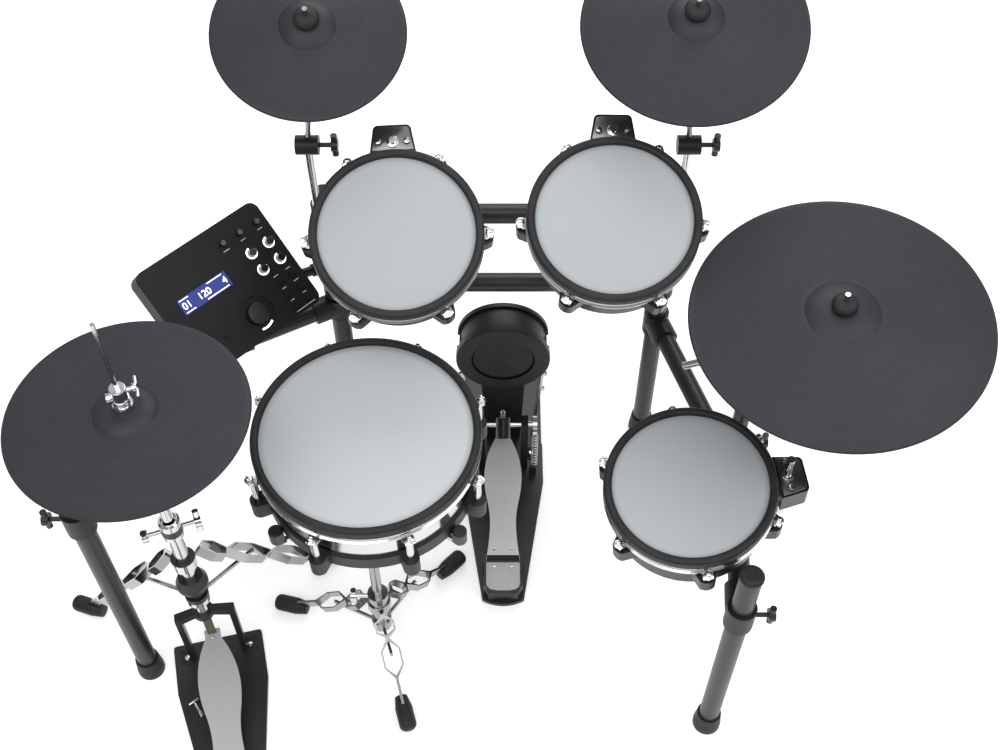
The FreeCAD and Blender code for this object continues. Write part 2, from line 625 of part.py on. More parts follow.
def drum_rim(name, shell, inner, outer, at):
    """The rubber rim: a rounded cap over the hoop with a skirt outside it."""
    skirt = flesh_radius(shell) + d.gap + d.hoop_wall + d.gap
    middle = (inner + outer) / 2
    return node(name, turned(name, [
        (inner, d.gap), (skirt, d.gap), (skirt, -d.rim_down), (outer, -d.rim_down), (outer, d.rim_lip),
        (middle, d.rim_up, (outer + middle) / 2 + d.gap * 4, d.rim_up - d.gap * 4),
        (inner, d.rim_lip, (inner + middle) / 2 - d.gap * 4, d.rim_up - d.gap * 4)], at))


def ears(body, name, outline, low, height, count, turn=0):
    """A flat outline padded on a round body and repeated round its axis."""
    sketch = draw(body, "XY_Plane", outline)
    sketch.AttachmentOffset = Placement(Vector(), Rotation(UP, float(turn)))
    set_sizes(sketch, **{".AttachmentOffset.Base.z": low})
    ear = body.newObject("PartDesign::Pad", name)
    ear.Profile = sketch
    set_sizes(ear, Length=height)
    pattern = body.newObject("PartDesign::PolarPattern", name + "_row")
    pattern.Originals = [ear]
    pattern.Axis = (sketch, ["N_Axis"])
    pattern.Occurrences = count
    body.Tip = pattern


def drum_hoop(name, shell, count, rod_radius, circle, rod_low, at, turn=0):
    """The plated hoop with its lower flange, and the tension rods under the flange."""
    inner = flesh_radius(shell) + d.gap
    low = -d.rim_down - d.hoop_height
    flange = inner + d.hoop_wall + d.rim_lip
    hoop = turned(name + "_ring", [
        (inner, low), (flange, low), (flange, low + d.rim_lip), (inner + d.hoop_wall, low + d.hoop_step),
        (inner + d.hoop_wall, 0), (inner, 0)])
    half, out = d.hoop_ear_width / 2, circle + d.hoop_ear_out
    ears(hoop, name + "_ear", [
        (inner + d.gap, -half), (circle, -half), (circle, half, out, 0), (inner + d.gap, half)],
        low, d.rim_lip, count, turn)
    hoop.Placement = at
    tops = low - d.gap
    tension = []
    for i in range(count):
        spoke = at.multiply(frame((0, 0, 0), 0, turn + FULL_TURN * i / count))
        tension.append(cylinder("%s_rod%d" % (name, i), rod_radius, (circle, 0, rod_low),
                                (circle, 0, tops), spoke))
    return node(name, hoop, *tension)


def sensor(name, inner, depth, at):
    """The bridge across the shell with the foam cone that touches the head from below."""
    top = -d.head_thickness - d.gap
    under = top - d.sensor_height
    chord = (inner * inner - d.bridge_width * d.bridge_width / 4).root()
    bar = box(name + "_bridge", (chord * 2 - d.gap * 2, d.bridge_width, d.bridge_height),
              (0, 0, under - d.gap - d.bridge_height / 2), at)
    cone = turned(name + "_cone", [
        (0, under), (d.sensor_radius, under), (d.sensor_radius, under + d.bridge_height),
        (d.sensor_radius / 2, top), (0, top)], at)
    return bar, cone


def mount_outline(stand):
    """The mount box from above: it narrows away from the drum and has round outer corners."""
    wide, outer, far, corner = d.box_wide / 2, d.box_outer / 2, stand + d.box_deep, d.box_corner
    soft = corner * QUARTER_ROUND_SHARE
    return [(-wide, stand), (wide, stand), (outer, far - corner),
            (outer - corner, far, outer - soft, far - soft), (corner - outer, far),
            (-outer, far - corner, soft - outer, far - soft)]


def tom_shell(name, at):
    """The shell with six lug ears, its mount box behind, and the sensor inside."""
    inner = d.tom_shell - d.tom_wall
    top = -d.head_thickness - d.gap
    body = turned(name + "_cup", [
        (0, -d.tom_depth), (d.tom_shell - d.edge_roll, -d.tom_depth),
        (d.tom_shell, -d.tom_depth + d.edge_roll),
        (d.tom_shell, top), (inner, top), (inner, -d.tom_depth + d.tom_floor),
        (0, -d.tom_depth + d.tom_floor)])
    half, tip, out = d.tom_lug_width / 2, d.tom_lug_tip / 2, d.tom_shell + d.tom_lug_out
    ears(body, name + "_ear", [
        (inner + d.gap, -half), (d.tom_shell, -half), (out - d.edge_roll * 2, -tip),
        (out - d.edge_roll * 2, tip, out, 0), (d.tom_shell, half), (inner + d.gap, half)],
        -d.tom_lug_drop - d.tom_lug_length, d.tom_lug_length, TOM_LUGS)
    body.Placement = at
    stand = flesh_radius(d.tom_shell) + d.gap + d.hoop_wall + d.rim_lip + d.box_stand
    reach = stand - d.tom_shell + d.overrun
    back = stand + d.box_deep * ROD_SHARE
    lug_middle = -d.tom_lug_drop - d.tom_lug_length / 2
    block = fuse(name + "_box_solid",
                 plate(name + "_box_block", mount_outline(stand), d.box_tall,
                       at.multiply(frame((0, 0, -d.box_drop - d.box_tall)))),
                 box(name + "_box_neck", (d.neck_width, reach, d.tom_lug_length),
                     (0, stand - reach / 2 + d.overrun / 2, lug_middle), at),
                 *[cylinder("%s_box_screw%d" % (name, i), d.box_screw, (x, back, -d.box_drop - d.overrun),
                            (x, back, -d.box_drop + d.box_screw_out), at)
                   for i, x in enumerate((-d.box_screw_spread, d.box_screw_spread))])
    bore = cylinder(name + "_box_bore", d.tom_rod_radius + d.gap, (0, back, -d.tom_depth),
                    (0, back, d.overrun), at)
    round_off = cylinder(name + "_box_seat", d.tom_shell + d.gap, (0, 0, -d.tom_depth),
                         (0, 0, d.overrun), at)
    mount = cut(name + "_box", block, bore, round_off)
    return node(name, body, mount, *sensor(name, inner, d.tom_depth, at))


def rod_reach():
    """How far behind the drum's axis the mount rod stands."""
    wall = flesh_radius(d.tom_shell) + d.gap + d.hoop_wall + d.rim_lip
    return wall + d.box_stand + d.box_deep * ROD_SHARE


def bent_rod(name, radius, *places):
    """A round rod through a few places, joined run by run at ball corners."""
    rod = cylinder(name + "_run0", radius, places[0], places[1])
    for i, (p, q) in enumerate(zip(places[1:], places[2:]), 1):
        corner = ball("%s_bend%d" % (name, i), radius * BEND_SHARE, (0, 0, 0),
                      frame(p, SEAM_ANGLE, SEAM_ANGLE))
        run = cylinder("%s_run%d" % (name, i), radius, p, q)
        rod = fuse("%s_join%d" % (name, i), rod, fuse("%s_turn%d" % (name, i), corner, run))
    return rod


def sized(vector):
    """A worked-out place as sizes without a cell of their own."""
    return tuple(Size("(%r)" % round(x, 6), x) for x in (vector.x, vector.y, vector.z))


def bar_grip(name, on_bar, bar_way, out_way, rod_radius):
    """A sleeve on a rack tube with a socket that holds a rod standing out of it."""
    half = d.grip_length / 2
    solid = fuse(name + "_solid",
                 cylinder(name + "_sleeve", d.tube_radius + d.clamp_wall, along(on_bar, bar_way, -half),
                          along(on_bar, bar_way, half)),
                 cylinder(name + "_socket", d.grip_socket, on_bar, along(on_bar, out_way, d.grip_height)))
    ends = half + d.overrun
    clamps.append(cut(name, solid,
                      cylinder(name + "_bore", d.tube_radius + d.gap, along(on_bar, bar_way, -ends),
                               along(on_bar, bar_way, ends)),
                      cylinder(name + "_socket_bore", rod_radius + d.gap,
                               along(on_bar, out_way, d.tube_radius),
                               along(on_bar, out_way, d.grip_height + d.overrun))))
    return along(on_bar, out_way, d.tube_radius + d.gap * 2)


tom_rods = []


def build_tom(name, centre, tilt, turn, spin, rod_up, ground):
    at = frame(centre, tilt, turn).multiply(frame((0, 0, 0), 0, spin))
    tom_shell(name + "_shell", at)
    drum_head(name + "_head", d.tom_shell, at)
    drum_rim(name + "_rim", d.tom_shell, d.tom_head, d.tom_rim, at)
    circle = flesh_radius(d.tom_shell) + d.gap + d.hoop_wall + d.rim_lip + d.tension_radius
    drum_hoop(name + "_hoop", d.tom_shell, TOM_LUGS, d.tension_radius, circle, -d.tom_lug_drop + d.gap,
              at)
    tip = sized(in_world(at, (0, rod_reach(), -d.box_drop + rod_up)))
    down = at.Rotation.multVec(Vector(0, 0, -1))
    tom_rods.append(ground(name + "_rod", tip, down))


def rod_to_bar(name, tip, down):
    """Down along the drum's axis until it is over the upper crossbar, then straight down to it."""
    bend = along(tip, down, -tip[1] / down.y)
    on_bar = (bend[0], 0, d.bar_upper_z)
    seat = bar_grip(name + "_grip", on_bar, Vector(1, 0, 0), UP, d.tom_rod_radius)
    side = Vector(0, 1, 0)
    wing_screw(name + "_screw", along(along(on_bar, UP, d.grip_height - d.grip_socket), side,
                                      d.grip_socket), side)
    return bent_rod(name, d.tom_rod_radius, tip, bend, seat)


def rod_to_arm(name, tip, down):
    """Down to the front side arm's height, then across to the arm."""
    bend = along(tip, down, (d.front_arm_z - tip[2]) / down.z)
    start, finish = ride_post + (d.front_arm_z,), right_leg + (d.front_arm_z,)
    way = unit(start, finish)
    share = (bend[1] - start[1]) / way.y
    on_arm = along(start, way, share)
    out = unit(on_arm, bend)
    seat = bar_grip(name + "_grip", on_arm, way, out, d.tom_rod_radius)
    side = Vector(0, 0, -1)
    wing_screw(name + "_screw", along(along(on_arm, out, d.grip_height - d.grip_socket), side,
                                      d.grip_socket), side)
    return bent_rod(name, d.tom_rod_radius, tip, bend, seat)


build_tom("tom1", (d.tom1_x, d.tom1_y, d.tom1_z), d.tom1_tilt, d.tom1_turn, 0, d.tom_rod_up,
          rod_to_bar)
build_tom("tom2", (d.tom2_x, d.tom2_y, d.tom2_z), d.tom2_tilt, d.tom2_turn, 0, d.tom_rod_up,
          rod_to_bar)
build_tom("tom3", (d.tom3_x, d.tom3_y, d.tom3_z), d.tom3_tilt, d.tom3_turn, d.tom3_spin_angle,
          d.tom3_rod_up, rod_to_arm)
node("tom_rods", *tom_rods)


# Snare: plated shell on a black lug ring, held in a three-armed basket on a tripod stand.

snare_at = frame((d.snare_x, d.snare_y, d.snare_z), d.snare_tilt)
stand_tips = []


def build_snare():
    at = snare_at
    shell = d.snare_shell
    inner = shell - d.snare_wall
    top = -d.head_thickness - d.gap
    node("snare_shell", turned("snare_shell_wall", ring(inner, shell, -d.snare_depth, top), at))
    drum_head("snare_head", shell, at)
    drum_rim("snare_rim", shell, d.snare_head, d.snare_rim, at)
    drum_hoop("snare_hoop", shell, SNARE_LUGS, d.lug_tube_radius, d.lug_tube_circle,
              d.lug_foot_rise - d.snare_depth, at, d.lug_angle)
    high = -d.snare_depth - d.gap
    low = high - d.snare_ring_height
    body = turned("snare_lug_ring", [
        (0, low), (d.snare_ring - d.rim_lip, low), (d.snare_ring, low + d.rim_lip),
        (d.snare_ring, high - d.rim_lip),
        (d.snare_ring - d.rim_lip, high), (inner, high), (inner, low + d.snare_floor),
        (0, low + d.snare_floor)])
    ears(body, "snare_lug_foot", [
        (d.snare_ring - d.rim_lip, -d.lug_foot_radius), (d.lug_tube_circle, -d.lug_foot_radius),
        (d.lug_tube_circle, d.lug_foot_radius, d.lug_tube_circle + d.lug_foot_radius, 0),
        (d.snare_ring - d.rim_lip, d.lug_foot_radius)],
        low + d.rim_lip, d.snare_ring_height - d.rim_lip + d.lug_foot_rise, SNARE_LUGS, d.lug_angle)
    body.Placement = at
    node("snare_base_ring", body, *sensor("snare_sensor", inner, d.snare_depth, at))


BASKET_ANGLES = (90.0, 219.0, 321.0)


def build_basket():
    """Hub, three bent arms with rubber hands, and the fork that hangs on the tilter."""
    at = snare_at
    bottom = -d.snare_depth - d.gap - d.snare_ring_height
    hub_top = -d.hub_drop + d.hub_height / 2
    hub_low = -d.hub_drop - d.hub_height / 2
    solids = [cylinder("basket_hub", d.hub_radius, (0, 0, hub_low), (0, 0, hub_top), at)]
    hands = []
    reach = d.snare_ring + d.gap + d.hand_radius
    low, high = -d.hand_drop - d.hand_height, -d.hand_drop
    for i, angle in enumerate(BASKET_ANGLES):
        spoke = at.multiply(frame((0, 0, 0), 0, angle))
        elbow, wrist = (d.basket_elbow, 0, -d.basket_elbow_drop), (reach, 0, low + d.hand_lip)
        root = (0, 0, -d.hub_drop)
        solids += [cylinder("basket_arm%d" % i, d.basket_arm_radius, root, elbow, spoke),
                   ball("basket_elbow%d" % i, d.basket_arm_radius * BEND_SHARE, elbow, spoke),
                   cylinder("basket_wrist%d" % i, d.basket_arm_radius, elbow, wrist, spoke),
                   ball("basket_bend%d" % i, d.basket_arm_radius * BEND_SHARE, wrist, spoke),
                   cylinder("basket_finger%d" % i, d.basket_arm_radius, wrist,
                            (reach, 0, high - d.hand_lip), spoke)]
        core = d.basket_arm_radius + d.gap
        start = low + d.hand_lip + d.hand_lip
        hands.append(turned("basket_hand%d" % i, [
            (core, start), (d.hand_radius - d.edge_roll, start), (d.hand_radius, start + d.edge_roll),
            (d.hand_radius, high - d.edge_roll), (d.hand_radius - d.edge_roll, high), (0, high),
            (0, high - d.hand_lip + d.gap), (core, high - d.hand_lip + d.gap)],
            spoke.multiply(frame((reach, 0, 0)))))
    pivot = (d.stand_x, d.stand_y, d.tilter_z)
    hub = sized(in_world(at, (0, 0, -d.hub_drop)))
    way = unit(pivot, (pivot[0],) + hub[1:])
    side = d.barrel_half + d.gap + d.cheek / 2
    cheek_middle = along(pivot, way, d.cheek_reach / 2)
    for i, x in enumerate((-side, side)):
        solids.append(box("basket_cheek%d" % i, (d.cheek, d.tilter_barrel * 2,
                                                 d.cheek_reach + d.tilter_barrel),
                          shift(cheek_middle, (x, 0, 0)), WORLD, Vector(0, way.y, way.z)))
    bridge = along(pivot, way, d.cheek_reach)
    wide = (d.barrel_half + d.gap + d.cheek) * 2
    solids += [box("basket_bridge", (wide, d.tilter_barrel, d.tilter_barrel), bridge, WORLD,
                   Vector(0, way.y, way.z)),
               cylinder("basket_neck", d.stand_post_radius, bridge, hub)]
    drum_space = cylinder("basket_drum_space", d.snare_ring, (0, 0, bottom - d.gap), (0, 0, 0), at)
    node("snare_basket", cut("basket", fuse("basket_solid", *solids), drum_space), *hands)


SNARE_CELL_SHARES = (0.36, 0.64)
HIHAT_CELL_SHARES = (0.22, 0.39, 0.39)
BEVEL_SHARE = 0.3
BRACE_SHARE = 0.66
TIP_NECK_SHARE, TIP_NOSE_SHARE = 0.74, 0.7


def sloping(axis, angle, start, finish, tall):
    """A frame along a sloping strip, its start moved out so that no corner digs into the collar."""
    run = point(finish) - point(start)
    start = (start[0] + tall * abs(run.z / run.Length) / 2, 0, start[2])
    run = point(finish) - point(start)
    slope = math.degrees(math.atan2(run.z, run.x))
    spoke = frame(axis + (0,), 0, angle)
    return spoke, spoke.multiply(Placement(point(start), Rotation(Vector(0, 1, 0),
            -slope))), span(start, finish)


def strip_leg(name, axis, angle, root_radius, root_z, reach, spread, tall, cell_shares):
    """A leg of two flat strips that part and meet again in a row of long cells."""
    root, end = (root_radius, 0, root_z), (reach - d.tip_length / 2, 0, d.tip_radius)
    spoke, place, length = sloping(axis, angle, root, end, tall)
    half, wall = spread / 2, d.strip_thickness
    neck = wall
    open_length = length - d.tip_length
    edge, cells, far = [(0, neck)], [], wall
    for i, share in enumerate(cell_shares):
        near = far
        far = near + (open_length - wall) * share
        bevel = (far - near) * BEVEL_SHARE
        edge += [(near + bevel, half), (far - bevel, half), (far, neck)]
        side = half - wall
        cells.append(plate("%s_cell%d" % (name, i), [
            (near + wall * 2, 0), (near + bevel, -side), (far - bevel, -side), (far - wall * 2, 0),
            (far - bevel, side), (near + bevel, side)], tall + d.overrun, place, "XY_Plane", True))
    edge.append((length, neck))
    outline = edge + [(x, -y) for x, y in reversed(edge)]
    leg = cut(name, plate(name + "_outer", outline, tall, place, "XY_Plane", True), *cells)
    bulb, long = d.tip_radius, d.tip_length
    nose = bulb * TIP_NOSE_SHARE
    tip = turned(name + "_tip_solid", [
        (0, 0), (bulb * TIP_NECK_SHARE, 0), (bulb, long / 3), (bulb, long - nose),
        (bulb - nose, long, bulb - nose * QUARTER_ROUND_SHARE, long - nose * QUARTER_ROUND_SHARE),
        (0, long)],
        spoke.multiply(Placement(point((reach - long, 0, bulb)), Rotation(UP, Vector(1, 0, 0)))))
    socket = box(name + "_tip_socket", (d.tip_length * 2, neck * 2 + d.gap * 2, tall + d.gap * 2),
                 (length + d.gap - d.tip_length, 0, 0), place)
    stand_tips.append(cut(name + "_tip", tip, socket))
    return leg


def brace(name, axis, angle, inner, z, reach, leg_z, tall):
    """A short flat strip from the lower collar out to between the two strips of a leg."""
    spoke, place, length = sloping(axis, angle, (inner, 0, z), (reach, 0, leg_z), tall)
    return box(name, (length, d.strip_thickness * 2, tall), (length / 2, 0, 0), place)


def build_snare_stand():
    axis = (d.stand_x, d.stand_y)
    low, high = axis + (d.stand_tube_base,), axis + (d.stand_tube_top,)
    bore = d.stand_post_radius + d.gap
    sleeve = tube("stand_sleeve", d.stand_tube_radius, d.stand_tube_radius - bore, low, high)
    outer = d.stand_tube_radius + d.gap
    collar = turned("stand_collar", ring(outer, d.stand_collar, -d.stand_collar_height, 0), frame(high))
    hub = turned("stand_hub", ring(outer, d.leg_collar, -d.collar_height / 2, d.collar_height / 2),
                 frame(axis + (d.leg_root_z,)))
    foot = turned("stand_foot", ring(outer, d.stand_collar, -d.collar_height / 2, d.collar_height / 2),
                  frame(axis + (d.brace_z,)))
    node("snare_stand_tube", sleeve, collar, hub, foot)
    legs = []
    for i in range(3):
        angle = d.tripod_turn.value + FULL_TURN / 3 * i
        legs.append(strip_leg("snare_leg%d" % i, axis, angle, d.leg_collar + d.gap, d.leg_root_z,
                              d.foot_circle,
                              d.strip_spread, d.strip_width, SNARE_CELL_SHARES))
        legs.append(brace("snare_brace%d" % i, axis, angle, d.stand_collar + d.gap, d.brace_z,
                          d.brace_reach,
                          d.leg_root_z * BRACE_SHARE, d.strip_width / 2))
    node("snare_stand_legs", *legs)
    side = Vector(-1, 0, 0)
    wing_screw("stand_screw", along(shift(high, (0, 0, -d.stand_collar_height / 2)), side,
                                    d.stand_collar), side)
    pivot = axis + (d.tilter_z,)
    barrel = cylinder("stand_barrel", d.tilter_barrel, shift(pivot, (-d.barrel_half, 0, 0)),
                      shift(pivot, (d.barrel_half, 0, 0)))
    post = cylinder("stand_post", d.stand_post_radius, axis + (d.stand_post_base,), pivot)
    node("snare_post", fuse("stand_post_solid", post, barrel))


build_snare()
build_basket()
build_snare_stand()


# Hi-hat: two bowed discs on a two-legged stand with a pedal; the pull rod lifts the upper one.

def hat_disc(name, at, radius):
    """A thin bowed disc with a small bell, hollow side down."""
    rise, wall, bell = d.hihat_rise, d.hihat_thickness, d.hihat_bell
    waist, shoulder = rise * HAT_WAIST_SHARE, rise * HAT_RISE_SHARE
    sag = waist * HAT_SAG_SHARE
    crown, side = bell * HAT_TOP_SHARE, bell * HAT_SIDE_SHARE
    middle = (radius + bell) / 2
    return turned(name, [
        (d.hat_hole, rise - wall), (d.hat_hole, rise), (crown, rise),
        (bell, waist, side, shoulder), (radius - d.edge_roll, d.edge_roll, middle, sag),
        (radius, 0), (radius - d.edge_roll, -d.edge_roll),
        (bell, waist - wall, middle, sag - wall), (crown, rise - wall, side, shoulder - wall)], at)


def build_hihat():
    axis = (d.hihat_x, d.hihat_y)
    upper = frame(axis + (d.hihat_z,))
    node("hihat_top", hat_disc("hihat_top_disc", upper, d.hihat_radius))
    lower_z = d.hihat_z - d.hihat_open - d.edge_roll * 2
    lower = frame(axis + (lower_z,)).multiply(Placement(Vector(), Rotation(Vector(1, 0, 0), 180)))
    node("hihat_bottom", hat_disc("hihat_bottom_disc", lower, d.hat_lower_radius))
    seat_top = lower_z - d.hihat_rise - d.gap
    bore = d.pull_rod_radius + d.gap
    crown = d.hihat_z + d.hihat_rise
    under = crown - d.hihat_thickness
    rod = fuse("hihat_rod_solid",
               cylinder("hihat_pull", d.pull_rod_radius, axis + (d.hat_tube_base - d.yoke_rise / 2,),
                        axis + (d.pull_rod_top,)),
               cylinder("hihat_clutch", d.clutch_radius, axis + (crown + d.gap,),
                        axis + (crown + d.clutch_height,)),
               cylinder("hihat_clutch_nut", d.clutch_nut, axis + (crown + d.gap,),
                        axis + (crown + d.clutch_nut_height,)),
               cylinder("hihat_clutch_sleeve", d.hat_hole - d.gap, axis + (under - d.gap,),
                        axis + (crown + d.overrun,)),
               cylinder("hihat_clutch_foot", d.clutch_nut,
                        axis + (under - d.gap - d.clutch_nut_height / 2,), axis + (under - d.gap,)))
    node("hihat_rod", rod)
    slim = d.hat_upper_radius
    main = tube("hihat_tube_main", d.hat_tube_radius, d.hat_tube_radius - slim - d.gap,
                axis + (d.hat_tube_base,),
                axis + (d.hat_tube_top,))
    inner = tube("hihat_tube_upper", slim, slim - bore - d.gap * 2,
                 axis + (d.hat_tube_base + d.boot_height,), axis + (seat_top,))
    outer = d.hat_tube_radius + d.gap
    collar_low = d.hat_tube_top - d.hat_collar_height / 2
    collar = turned("hihat_collar", [
        (outer, 0), (d.hat_collar_radius, 0), (d.hat_collar_radius, d.hat_collar_height - d.rim_lip),
        (d.hat_collar_radius - d.rim_lip, d.hat_collar_height), (outer, d.hat_collar_height)],
        frame(axis + (collar_low,)))
    boot = turned("hihat_boot", [
        (outer, 0), (d.boot_radius, 0), (d.boot_flare, d.boot_height - d.boot_height * BOOT_SHARE),
        (d.boot_flare, d.boot_height * BOOT_SHARE), (d.boot_radius, d.boot_height),
        (outer, d.boot_height)], frame(axis + (d.boot_z,)))
    hub = turned("hihat_hub", ring(outer, d.boot_radius, -d.collar_height / 2, d.collar_height / 2),
                 frame(axis + (d.hat_leg_root_z,)))
    low_hub = turned("hihat_low_hub", ring(outer, d.boot_radius, -d.collar_height / 2,
                                           d.collar_height / 2),
                     frame(axis + (d.hat_brace_z,)))
    cup = turned("hihat_seat", ring(slim + d.gap, d.hat_seat_radius, -d.hat_seat_height, 0),
                 frame(axis + (seat_top,)))
    node("hihat_tube", main, inner)
    node("hihat_collars", collar, boot, hub, low_hub, cup)
    legs = []
    for i, side in enumerate((1, -1)):
        angle = FULL_TURN / 4 + d.hat_pedal_turn.value + side * d.hat_leg_angle.value
        legs.append(strip_leg("hihat_leg%d" % i, axis, angle, d.boot_radius + d.gap, d.hat_leg_root_z,
                              d.hat_leg_reach,
                              d.hat_spread, d.hat_strip_width, HIHAT_CELL_SHARES))
        legs.append(brace("hihat_brace%d" % i, axis, angle, d.boot_radius + d.gap, d.hat_brace_z,
                          d.hat_brace_reach,
                          d.hat_brace_z, d.strip_width / 2))
    node("hihat_legs", *legs)
    for i, angle in enumerate(HAT_SCREW_ANGLES):
        way = frame((0, 0, 0), 0, angle).Rotation.multVec(Vector(1, 0, 0))
        seat = along(axis + (d.hat_tube_top - d.hat_collar_height / 8,), way, d.hat_collar_radius)
        wing_screw("hihat_screw%d" % i, seat, way)


build_hihat()
node("stand_feet", *stand_tips)


# Pedals: both have the same tapered base plate, heel block and footboard.

YOKE_TOP_SHARE, YOKE_DEPTH_SHARE = 1.6, 1.45
HELIX_START_SHARE = 0.02
BOARD_RUN_SHARE = math.cos(math.radians(d.board_angle.value))
BOARD_RISE_SHARE = math.sin(math.radians(d.board_angle.value))
WAIST_SHARE, WIDEST_SHARE, HEEL_SHARE = 0.26, 0.63, 0.75
BELLY_SHARE, SHOULDER_SHARE = 0.125, 0.24
hinge_y = d.toe_y - d.board_length * BOARD_RUN_SHARE
plate_back = hinge_y - d.heel_length - d.heel_margin
kick_at = frame((0, d.kick_plate_y, 0))
hat_at = frame((d.hihat_x, d.hihat_y, 0), 0, d.hat_pedal_turn)


def pedal_plate(name, at):
    """A base plate that narrows towards the heel, with a rounded heel end."""
    front, back = d.plate_front_half, d.plate_back_half
    knee, corner = d.plate_knee, d.rim_lip * 2
    soft = corner * QUARTER_ROUND_SHARE
    return plate(name, [
        (-back, plate_back + d.heel_sag), (back, plate_back + d.heel_sag, 0, plate_back), (front, knee),
        (front, d.plate_front - corner),
        (front - corner, d.plate_front, front - soft, d.plate_front - soft),
        (corner - front, d.plate_front),
        (-front, d.plate_front - corner, soft - front, d.plate_front - soft), (-front, knee)],
        d.plate_thickness, at)


def heel_block(name, at):
    """The heel rest with two ears that carry the hinge pin."""
    low, high = d.plate_thickness, d.hinge_z + d.board_thickness / 2
    front = hinge_y - d.hinge_radius - d.gap * 2
    rear = hinge_y - d.heel_length
    rest = plate(name + "_rest", [
        (-d.heel_half * HEEL_SHARE, rear), (d.heel_half * HEEL_SHARE, rear),
        (d.heel_half, rear + d.heel_half / 2),
        (d.heel_half, front), (-d.heel_half, front), (-d.heel_half, rear + d.heel_half / 2)],
        high - low, at.multiply(frame((0, 0, low))))
    ear_middle = d.board_heel_half + d.gap * 2 + d.pin_radius
    ears = [box("%s_ear%d" % (name, i), (d.pin_radius * 2, d.hinge_radius * 4, high - low),
                (x, hinge_y - d.hinge_radius, (low + high) / 2), at) for i,
                x in enumerate((-ear_middle, ear_middle))]
    pin = cylinder(name + "_pin", d.pin_radius, (-ear_middle, hinge_y, d.hinge_z),
                   (ear_middle, hinge_y, d.hinge_z), at)
    return fuse(name, rest, pin, *ears)


def footboard(name, at):
    """A waisted board with a hinge barrel at the heel and a lip at the toe."""
    place = at.multiply(frame((0, hinge_y, d.hinge_z))).multiply(
        Placement(Vector(), Rotation(Vector(1, 0, 0), d.board_angle.value)))
    toe, wide, waist, heel = d.board_toe_half, d.board_wide_half, d.board_waist_half, d.board_heel_half
    low, mid, high = d.board_length * WAIST_SHARE, d.board_length * WIDEST_SHARE, d.board_length
    neck, bend_x, bend_y = d.board_length - d.board_neck, (wide + waist) / 2, (low + mid) / 2
    belly = (wide - waist) * BELLY_SHARE
    right = [(heel, 0), (waist, low, (heel + waist) / 2 - belly, low / 2),
             (bend_x, bend_y, (waist + bend_x) / 2 - belly, (low + bend_y) / 2),
             (wide, mid, (bend_x + wide) / 2 + belly, (bend_y + mid) / 2),
             (toe, neck, (wide + toe) / 2 + (wide - toe) * SHOULDER_SHARE, (mid + neck) / 2), (toe, high)]
    left = [(-toe, high), (-toe, neck),
            (-wide, mid, (toe - wide) * SHOULDER_SHARE - (wide + toe) / 2, (mid + neck) / 2),
            (-bend_x, bend_y, -belly - (bend_x + wide) / 2, (bend_y + mid) / 2),
            (-waist, low, belly - (waist + bend_x) / 2, (low + bend_y) / 2),
            (-heel, 0, belly - (heel + waist) / 2, low / 2)]
    board = plate(name + "_board", right + left, d.board_thickness,
                  place.multiply(frame((0, 0, -d.board_thickness / 2))))
    barrel = cylinder(name + "_barrel", d.hinge_radius, (-heel, 0, 0), (heel, 0, 0), place)
    bore = cylinder(name + "_bore", d.pin_radius + d.gap, (-heel - d.overrun, 0, 0),
                    (heel + d.overrun, 0, 0), place)
    return node(name, cut(name + "_solid", fuse(name + "_whole", board, barrel), bore)), place


def on_board(y):
    """The height just above a footboard's face, at one place along the pedal."""
    rise = (y - hinge_y) * (BOARD_RISE_SHARE / BOARD_RUN_SHARE)
    return d.hinge_z + rise + d.board_thickness / 2 + d.gap * 3


def coil(name, radius, wire, turns, low, high, at):
    """A spring as one unbroken tube: quarter-turn arcs along a helix with straight end hooks."""
    steps = int(turns.value) * 4
    pitch = (float(high) - float(low)) / steps
    r = float(radius)

    def on_helix(step):
        angle = math.pi / 2 * step
        return Vector(r * math.cos(angle), r * math.sin(angle), float(low) + pitch * step)

    arcs = [Part.Arc(on_helix(i), on_helix(i + 0.5), on_helix(i + 1)).toShape() for i in range(steps)]
    path = Part.Wire(arcs)
    start = on_helix(0)
    heading = (on_helix(HELIX_START_SHARE) - start).normalize()
    section = Part.Wire(Part.makeCircle(float(wire), start, heading))
    shape = path.makePipeShell([section], True, False)
    obj = doc.addObject("Part::Feature", name)
    obj.Shape = shape
    obj.Placement = at
    print("%s: least gap between turns %.2f mm" % (name, pitch * 4 - float(wire) * 2))
    return obj


